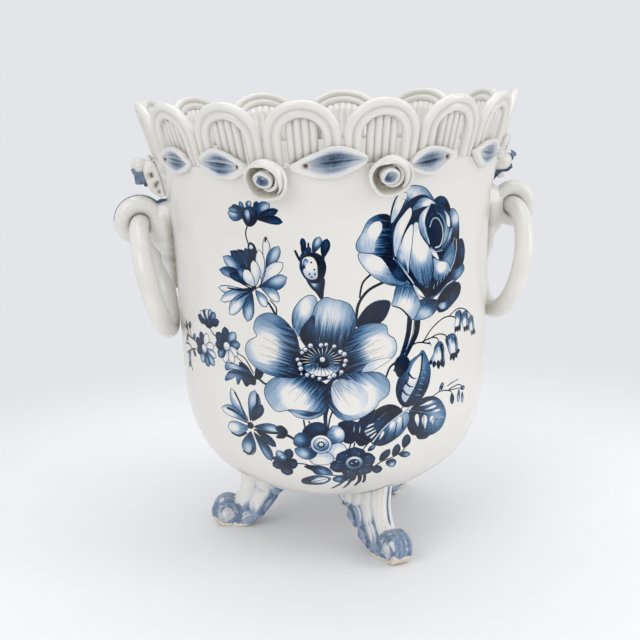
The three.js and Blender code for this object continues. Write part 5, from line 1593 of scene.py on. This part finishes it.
def make_garland():
    for side, turn in (("front", 0), ("back", 180)):
        for number in range(len(LEAF_ANGLES)):
            make_leaf(number, side, turn)
        for number, angle in enumerate(ROSE_ANGLES):
            twist = math.radians(ROSE_TWISTS[number] + turn / 3)
            make_rose(f"rose_{side}_{number + 1}", math.radians(angle + turn), twist)
    make_spray("spray_left", math.radians(-90), 1, (0.5, 4.2, 7.0, 0.93), LEFT_SPRAY)
    make_spray("spray_right", math.radians(90), -1, (5.0, -2.8, 3.6, 1.08), RIGHT_SPRAY)


# The handles, built at the right and mirrored to the left

RING_TOP_Z = RIM_Z - RING_DROP
RING_TOP_X = wall_radius(RING_TOP_Z) + RING_REACH
LOOP_TIP_TUBE = 2.9
LOOP_CLEARANCE = -0.2
LOOP_PAD_WIDTH = 14
LOOP_LENGTH = 48
LOOP_TOP_RISE = 7
LOOP_VOXEL = 0.45
RING_SKIN_INSET = 0.12


def ring_place(lean):
    place = Matrix.Translation((RING_TOP_X, 0, RING_TOP_Z)) @ Matrix.Rotation(math.radians(RING_TURN), 4, "Z")
    return place @ Matrix.Rotation(lean, 4, "Y") @ Matrix.Translation((0, 0, -RING_RADIUS))


def resting_lean():
    """The ring leans in until its foot is RING_GAP from the wall"""
    free, touching = 0.0, math.radians(40)
    for _ in range(30):
        middle = (free + touching) / 2
        place = ring_place(middle)
        gaps = []
        for k in range(72):
            turn = k * math.pi / 36
            point = place @ Vector((0, RING_RADIUS * math.cos(turn), RING_RADIUS * math.sin(turn)))
            gaps.append(math.hypot(point.x, point.y) - wall_radius(point.z) - RING_TUBE)
        if min(gaps) > RING_GAP:
            free = middle
        else:
            touching = middle
    return free


def mirrored(bm):
    bmesh.ops.transform(bm, matrix=Matrix.Scale(-1, 4, (1, 0, 0)), verts=bm.verts)
    bmesh.ops.reverse_faces(bm, faces=bm.faces)
    return bm


def ring_skin():
    bm = bmesh.new()
    bm.verts.layers.float.new("paint_and_shade")
    place = Matrix.Scale(METRES, 4) @ ring_place(resting_lean())
    rings = []
    for turn in once_round(120):
        uneven = 1 + 0.025 * rough(math.cos(turn) * 1.5, math.sin(turn) * 1.5, 4)
        thick = (RING_TUBE - RING_SKIN_INSET) * uneven
        ring = []
        for side in once_round(32):
            reach = RING_RADIUS + thick * math.cos(side)
            ring.append(place @ Vector((thick * math.sin(side), reach * math.cos(turn), reach * math.sin(turn))))
        rings.append(ring)
    tube(bm, rings)
    bmesh.ops.recalc_face_normals(bm, faces=bm.faces)
    return bm


def loop_skin(lined, thickest, top_tube):
    """Strap, wall pad and pointed tail as one skin, with a painted line along the strap's top and painted shade on
    the pad beside the wall
    """
    bm = bmesh.new()
    rings = []
    for turn in once_round(48):
        slim = 0.5 - 0.5 * math.cos(turn - math.radians(thickest))
        thick = LOOP_TIP_TUBE + (top_tube - LOOP_TIP_TUBE) * (1 - slim) ** 0.7
        radius = RING_TUBE + LOOP_CLEARANCE + thick
        ring = []
        for side in once_round(20):
            reach = radius + thick * math.cos(side)
            x, z = RING_TOP_X - math.cos(turn) * reach, RING_TOP_Z + math.sin(turn) * reach
            ring.append(mm(x, thick * 1.25 * math.sin(side), z))
        rings.append(ring)
    tube(bm, rings)
    top = RING_TOP_Z + RING_TUBE + LOOP_TOP_RISE
    depth = RING_REACH - RING_TUBE - LOOP_CLEARANCE + 1
    sizes = [(0, 0.3), (0.08, 0.75), (0.25, 1.0), (0.48, 0.95), (0.6, 0.62), (0.7, 0.6), (0.84, 0.36), (1, 0.1)]
    rings = []
    for share, size in curve(sizes, 4):
        z = top - LOOP_LENGTH * share
        thick = depth * min(1.0, size)
        ring = []
        for side in once_round(24):
            out = max(-0.8, math.cos(side) * thick)
            flare = 1 + 0.25 * min(1.0, 1 - math.cos(side)) ** 4
            ring.append(mm(wall_radius(z) + out, flare * math.sin(side) * size * LOOP_PAD_WIDTH / 2, z))
        rings.append(ring)
    loft(bm, rings)
    bmesh.ops.recalc_face_normals(bm, faces=bm.faces)
    bm = fused(bm, LOOP_VOXEL, 4)
    kept_off_wall(bm)
    layer = bm.verts.layers.float["paint_and_shade"]
    for vert in bm.verts:
        x, y, z = vert.co / METRES
        turn = math.atan2(z - RING_TOP_Z, RING_TOP_X - x)
        reach = math.hypot(z - RING_TOP_Z, RING_TOP_X - x)
        outside = smoothstep(11.5, 12.5, reach)
        width = 0.6 + 0.9 * smoothstep(1.5, 0.8, turn)
        line = hump(y + 2.2, width) * smoothstep(0.3, 0.5, turn) * outside
        line = lined * 1.1 * line * (1 - smoothstep(2.9, 3.1, turn))
        # Painted shade in warm grey on the pad close to the wall, fading out towards the pad's top
        shade = 0.75 * (1 - smoothstep(0.5, 5.0, math.hypot(x, y) - wall_radius(z)))
        shade *= smoothstep(top - 4, top - 16, z)
        vert[layer] = line if line > 0.03 else -shade
    return bm


def make_handles():
    finished("ring_right", ring_skin(), WHITE, "white_glaze", "handle_ring_right")
    finished("ring_left", mirrored(ring_skin()), WHITE, "white_glaze", "handle_ring_left")
    finished("loop_right", loop_skin(False, 150, 4.4), PAINTED, "white_glaze", "handle_loop_right")
    finished("loop_left", mirrored(loop_skin(True, 100, 5.1)), PAINTED, "white_glaze", "handle_loop_left")


# The feet, built pointing along +X: x out from the axis, y across

FOOT_ANGLES = [19, 139, 259]
FOOT_OUTER_ROOT = BOWL_RADIUS - 24.8
FOOT_INNER_ROOT = BOWL_RADIUS - 55.3
FOOT_WAIST = 2.4
FOOT_ROOT_SINK = 4
FOOT_BROAD_HALF = 16.5
FOOT_NARROW_HALF = 12.0
FOOT_TOE_HALF = 6.4
FOOT_RIB = 4.25
SCROLL_RADIUS = 8.8
SCROLL_HALF = 6.6
SCROLL_X = BOWL_RADIUS - 9.8 - SCROLL_RADIUS
SCROLL_Z = SCROLL_RADIUS - 0.6
FLUTE_PITCH = 2.7
FOOT_STATIONS = 40
FLANK_STEPS = 24
FOOT_VOXEL = 0.42
FOOT_CLEARANCE = 0.2
CHIP_GRAIN = 0.7


def foot_lines():
    """Places down the foot's front and back faces, as (x, z) vectors"""
    outer_z = underside(FOOT_OUTER_ROOT) + FOOT_ROOT_SINK
    inner_z = underside(FOOT_INNER_ROOT) + FOOT_ROOT_SINK
    front = [
        (FOOT_OUTER_ROOT + FOOT_WAIST * 0.4, outer_z),
        (FOOT_OUTER_ROOT - FOOT_WAIST * 0.85, outer_z * 0.74),
        (FOOT_OUTER_ROOT - FOOT_WAIST, outer_z * 0.58),
        (FOOT_OUTER_ROOT - FOOT_WAIST * 0.25, outer_z * 0.44),
        (SCROLL_X - SCROLL_RADIUS * 0.23, SCROLL_Z + SCROLL_RADIUS * 0.62),
        (SCROLL_X + SCROLL_RADIUS * 0.11, SCROLL_Z + SCROLL_RADIUS * 0.5),
    ]
    span = SCROLL_X - FOOT_INNER_ROOT
    back = [
        (FOOT_INNER_ROOT - span * 0.05, inner_z),
        (FOOT_INNER_ROOT + span * 0.08, inner_z * 0.72),
        (FOOT_INNER_ROOT + span * 0.23, inner_z * 0.46),
        (FOOT_INNER_ROOT + span * 0.41, inner_z * 0.22),
        (SCROLL_X - SCROLL_RADIUS * 1.5, 0.6),
        (SCROLL_X - SCROLL_RADIUS * 0.4, -1.5),
    ]
    steps = FOOT_STATIONS // 5
    return curve(front, steps), curve(back, steps)


def foot_half(share, broad):
    """Half width of the leaf: its edge steps in lobe by lobe on the way down"""
    root = FOOT_BROAD_HALF if broad else FOOT_NARROW_HALF
    lobes = 4 if broad else 3
    step = abs(math.sin(math.pi * lobes * share)) ** 0.7
    return (root + (FOOT_TOE_HALF - root) * share) * (0.83 + 0.19 * step)


def foot_section(share):
    """(depth, width) round the leaf, depth 1 at its front"""
    flanks = []
    for broad in (False, True):
        half = foot_half(share, broad)
        flank = [(1.0, 0.0), (1.0, 1.7), (0.96, 3.1), (0.88, 4.0), (0.8, FOOT_RIB)]
        for k in range(1, FLANK_STEPS + 1):
            t = k / FLANK_STEPS
            width = FOOT_RIB + (half - FOOT_RIB) * t**0.85
            depth = 0.78 * (1 - t) + 0.05
            flute = 0.075 * math.cos(2 * math.pi * (width - FOOT_RIB) / FLUTE_PITCH) * smoothstep(0, 0.15, t)
            roll = 0.05 * hump(t - 0.88, 0.1)
            flank.append((depth + flute * (1 - 0.6 * share) + roll, width))
        flanks.append(flank)
    narrow, broad = flanks
    under = [(0.02, narrow[-1][1] * 0.8), (0.06, narrow[-1][1] * 0.4), (0.1, 0.0), (0.06, -broad[-1][1] * 0.4),
             (0.02, -broad[-1][1] * 0.8)]
    return narrow + under + [(depth, -width) for depth, width in reversed(broad[1:])]


def foot_scroll(bm):
    """The toe's roll: a sunk turn winds in to a raised eye at each end"""
    ends = [(0.06, 1.06), (0.16, 1.05), (0.26, 0.98), (0.36, 0.93), (0.48, 0.93), (0.6, 0.96), (0.72, 0.98),
            (0.84, 0.93), (0.93, 0.82), (0.985, 0.68)]
    stations = [(radius, -width) for radius, width in ends] + [(1.0, side / 5 * 0.55) for side in range(-5, 6)]
    stations += [(radius, width) for radius, width in reversed(ends)]
    rings = []
    for radius, width in stations:
        ring = []
        for turn in once_round(48):
            offset = (radius - 0.3 - 0.5 * turn / (2 * math.pi)) % 0.5
            groove = hump(min(offset, 0.5 - offset), 0.07) * smoothstep(0.22, 0.34, radius)
            groove *= 1 - smoothstep(0.86, 0.97, radius)
            ridge = 1 - 0.02 * math.cos(5 * width * math.pi)
            out = radius * ridge * SCROLL_RADIUS
            side = (width - 0.2 * groove * (1 if width > 0 else -1)) * SCROLL_HALF
            ring.append(mm(SCROLL_X + out * math.cos(turn), side, SCROLL_Z + out * math.sin(turn)))
        rings.append(ring)
    loft(bm, rings)


def foot_paint(spot, front, back):
    """Blue on the scroll and along the leaf's ragged edge, painted shade in the flutes; the bare base comes out as -1
    """
    x, y, z = spot
    grain = rough(x * 0.5, y * 0.5, z * 0.5)
    reach = math.hypot(x - SCROLL_X, z - SCROLL_Z)
    chip = smoothstep(SCROLL_X + 1, SCROLL_X + 7.5, x) * (0.75 + 0.5 * rough(y * 0.25, z * 0.16, 3))
    if z < 2.0 + CHIP_GRAIN * grain + 4.6 * chip:
        return -1.0
    fine = rough(x * 1.7, y * 1.7, z * 1.7)
    mottle = 0.73 + 0.16 * grain + 0.1 * fine
    if reach < SCROLL_RADIUS + 0.45:
        worn = smoothstep(0.3, 0.55, rough(x * 0.3, y * 0.3, z * 0.3 + 7))
        rings = 0.5 + 0.5 * math.cos(y * 2.1 + 0.6 * grain)
        inside = 1 - smoothstep(4.6 + 2 * grain, 5.8 + 2 * grain, reach)
        eye = 1 - 0.65 * smoothstep(0.8, 0.9, abs(y) / SCROLL_HALF) * inside
        return mottle * (1 - 0.75 * worn) * (0.8 + 0.2 * rings) * eye
    best, share, depth = 1e9, 0.0, 0.0
    for i in range(FOOT_STATIONS + 1):
        run = front[i] - back[i]
        t = max(0.0, min(1.0, (Vector((x, z)) - back[i]).dot(run) / run.length_squared))
        away = (back[i] + run * t - Vector((x, z))).length
        if away < best:
            best, share, depth = away, i / FOOT_STATIONS, t
    half = foot_half(share, y < 0)
    edge = half - abs(y)
    groove = 0.5 - 0.5 * math.cos(2 * math.pi * (abs(y) - FOOT_RIB) / FLUTE_PITCH)
    streak = rough(y * 1.6, share * 0.8, 2.0) + 0.6 * rough(y * 4.2, share * 1.2, 5.0)
    reach_in = (2.6 + 3.0 * groove + 6.0 * max(-0.3, streak)) * smoothstep(0.1, 0.34, share)
    reach_in = max(0.2, reach_in * (0.45 if y > 0 else 1.0))
    paint = mottle * (1 - smoothstep(reach_in * 0.3, reach_in * 1.15 + 0.4, edge)) * (0.68 + 0.32 * groove)
    # Painted shade: a light blue-grey down every flute's valley
    if abs(y) > FOOT_RIB:
        paint += 0.16 * groove**2
    below_root = smoothstep(0.04, 0.1, share)
    line = 1.1 * hump(y - 0.5, 0.55) * below_root * (1 - smoothstep(0.58, 0.7, share))
    scored = hump(y + 2.6, 0.3) * below_root * (1 - smoothstep(0.7, 0.8, share))
    if depth < 0.1:
        paint = max(paint, 0.4 * mottle * smoothstep(0.1, 0.4, share))
    return -0.85 * scored if scored > 0.3 and depth > 0.5 else max(paint, 0.95 * line)


def make_feet():
    front, back = foot_lines()
    bm = bmesh.new()
    rings = []
    for i in range(FOOT_STATIONS + 1):
        ring = []
        for depth, width in foot_section(i / FOOT_STATIONS):
            spot = back[i].lerp(front[i], depth)
            ring.append(mm(spot.x, width, spot.y))
        rings.append(ring)
    loft(bm, rings)
    foot_scroll(bm)
    bmesh.ops.recalc_face_normals(bm, faces=bm.faces)
    bm = fused(bm, FOOT_VOXEL, 3)
    layer = bm.verts.layers.float["paint_and_shade"]
    for vert in bm.verts:
        vert[layer] = foot_paint(vert.co / METRES, front, back)
        radius = math.hypot(vert.co.x, vert.co.y) / METRES
        vert.co.z = max(0.0, min(vert.co.z, (underside(radius) - FOOT_CLEARANCE) * METRES))
    for letter, angle in zip("abc", FOOT_ANGLES):
        copy = bm.copy()
        turn = Matrix.Rotation(math.radians(angle - 90), 3, "Z")
        bmesh.ops.rotate(copy, cent=(0, 0, 0), matrix=turn, verts=copy.verts)
        finished(f"foot_{letter}_leaf", copy, FOOT_GLAZE, "foot_glaze", f"foot_{letter}")
    bm.free()


# The camera, the floor and the light

BACKDROP = srgb(228, 229, 233)
FLOOR_FADE_START = 0.2
FLOOR_FADE_END = 0.41
ROOM_FILL = 0.84


def stage():
    """A pale floor that runs out into the backdrop's colour"""
    bm = bmesh.new()
    bmesh.ops.create_circle(bm, cap_ends=True, segments=128, radius=FLOOR_FADE_END)
    mesh = mesh_of("floor", bm)
    floor = in_scene("floor", mesh)
    nodes = Nodes(bpy.data.materials.new("floor"))
    nodes.put("Base Color", srgb(240, 240, 241))
    nodes.put("Roughness", 0.9)
    nodes.put("Specular IOR Level", 0.1)
    coordinates = nodes.add("ShaderNodeTexCoord")
    reach = nodes.add("ShaderNodeVectorMath", operation="LENGTH")
    nodes.join(coordinates.outputs["Object"], reach.inputs[0])
    fade = nodes.span(reach.outputs["Value"], FLOOR_FADE_START, FLOOR_FADE_END)
    glow = nodes.add("ShaderNodeEmission")
    glow.inputs["Color"].default_value = BACKDROP
    whole = nodes.blend(fade, nodes.shader.outputs[0], glow.outputs[0])
    nodes.join(whole, nodes.tree.nodes["Material Output"].inputs["Surface"])
    mesh.materials.append(nodes.holder)


def area_light(name, place, target, size, power):
    data = bpy.data.lights.new(name, "AREA")
    data.shape = "RECTANGLE"
    data.size, data.size_y = size
    data.energy = power
    lamp = in_scene(name, data)
    lamp.location = place
    lamp.rotation_euler = (Vector(target) - Vector(place)).to_track_quat("-Z", "Y").to_euler()
    return lamp


def lights():
    """Soft lamps, and a room that is dim in front and white behind for what the glaze mirrors"""
    middle = (0, 0, 0.14)
    area_light("soft_left", (-0.9, -1.0, 0.9), middle, (0.8, 1.0), 4.6)
    area_light("soft_right", (1.0, -0.45, 0.6), middle, (0.5, 0.9), 3.0)
    area_light("soft_top", (0.0, 0.1, 1.3), middle, (1.0, 1.0), 4.4)
    area_light("soft_low", (0.15, -1.2, 0.12), (0, 0, 0.2), (1.2, 0.3), 2.2).visible_glossy = False
    room = Nodes(bpy.data.worlds.new("studio"))
    bpy.context.scene.world = room.holder

    def background(color, strength):
        node = room.add("ShaderNodeBackground")
        node.inputs["Color"].default_value = color
        room.fill(node.inputs["Strength"], strength)
        return node.outputs[0]

    coordinates = room.add("ShaderNodeTexCoord")
    direction = room.add("ShaderNodeSeparateXYZ")
    room.join(coordinates.outputs["Generated"], direction.inputs[0])
    dim_to_white = room.span(direction.outputs[1], -0.6, 0.5, 0.16, 0.85)
    path = room.add("ShaderNodeLightPath")
    fill = background(srgb(238, 239, 243), ROOM_FILL)
    mirrored_room = background(srgb(236, 237, 240), dim_to_white)
    lit = room.blend(path.outputs["Is Glossy Ray"], fill, mirrored_room)
    whole = room.blend(path.outputs["Is Camera Ray"], lit, background(BACKDROP, 1.0))
    room.join(whole, room.tree.nodes["World Output"].inputs["Surface"])


def camera():
    """Set from the fit: the place round the pot, then yaw, pitch and roll"""
    data = bpy.data.cameras.new("camera")
    data.sensor_width = 36.0
    data.lens = CAMERA_FOCAL / PHOTO_SIZE * data.sensor_width
    data.clip_start = 0.01
    view = in_scene("camera", data)
    across, along = math.sin(CAMERA_YAW), math.cos(CAMERA_YAW)
    ahead = Vector((across * math.cos(CAMERA_PITCH), along * math.cos(CAMERA_PITCH), -math.sin(CAMERA_PITCH)))
    level = Vector((along, -across, 0))
    upright = level.cross(ahead)
    right = level * math.cos(CAMERA_ROLL) + upright * math.sin(CAMERA_ROLL)
    up = -level * math.sin(CAMERA_ROLL) + upright * math.cos(CAMERA_ROLL)
    turn = Matrix((right, up, -ahead)).transposed().to_4x4()
    place = Matrix.Translation(mm(0, -CAMERA_DISTANCE, CAMERA_HEIGHT))
    view.matrix_world = Matrix.Rotation(CAMERA_ANGLE, 4, "Z") @ place @ turn
    bpy.context.scene.camera = view


def main():
    bpy.context.scene.view_settings.view_transform = "Standard"
    camera()
    stage()
    lights()
    make_bowl()
    make_gallery()
    make_garland()
    make_handles()
    make_feet()


main()
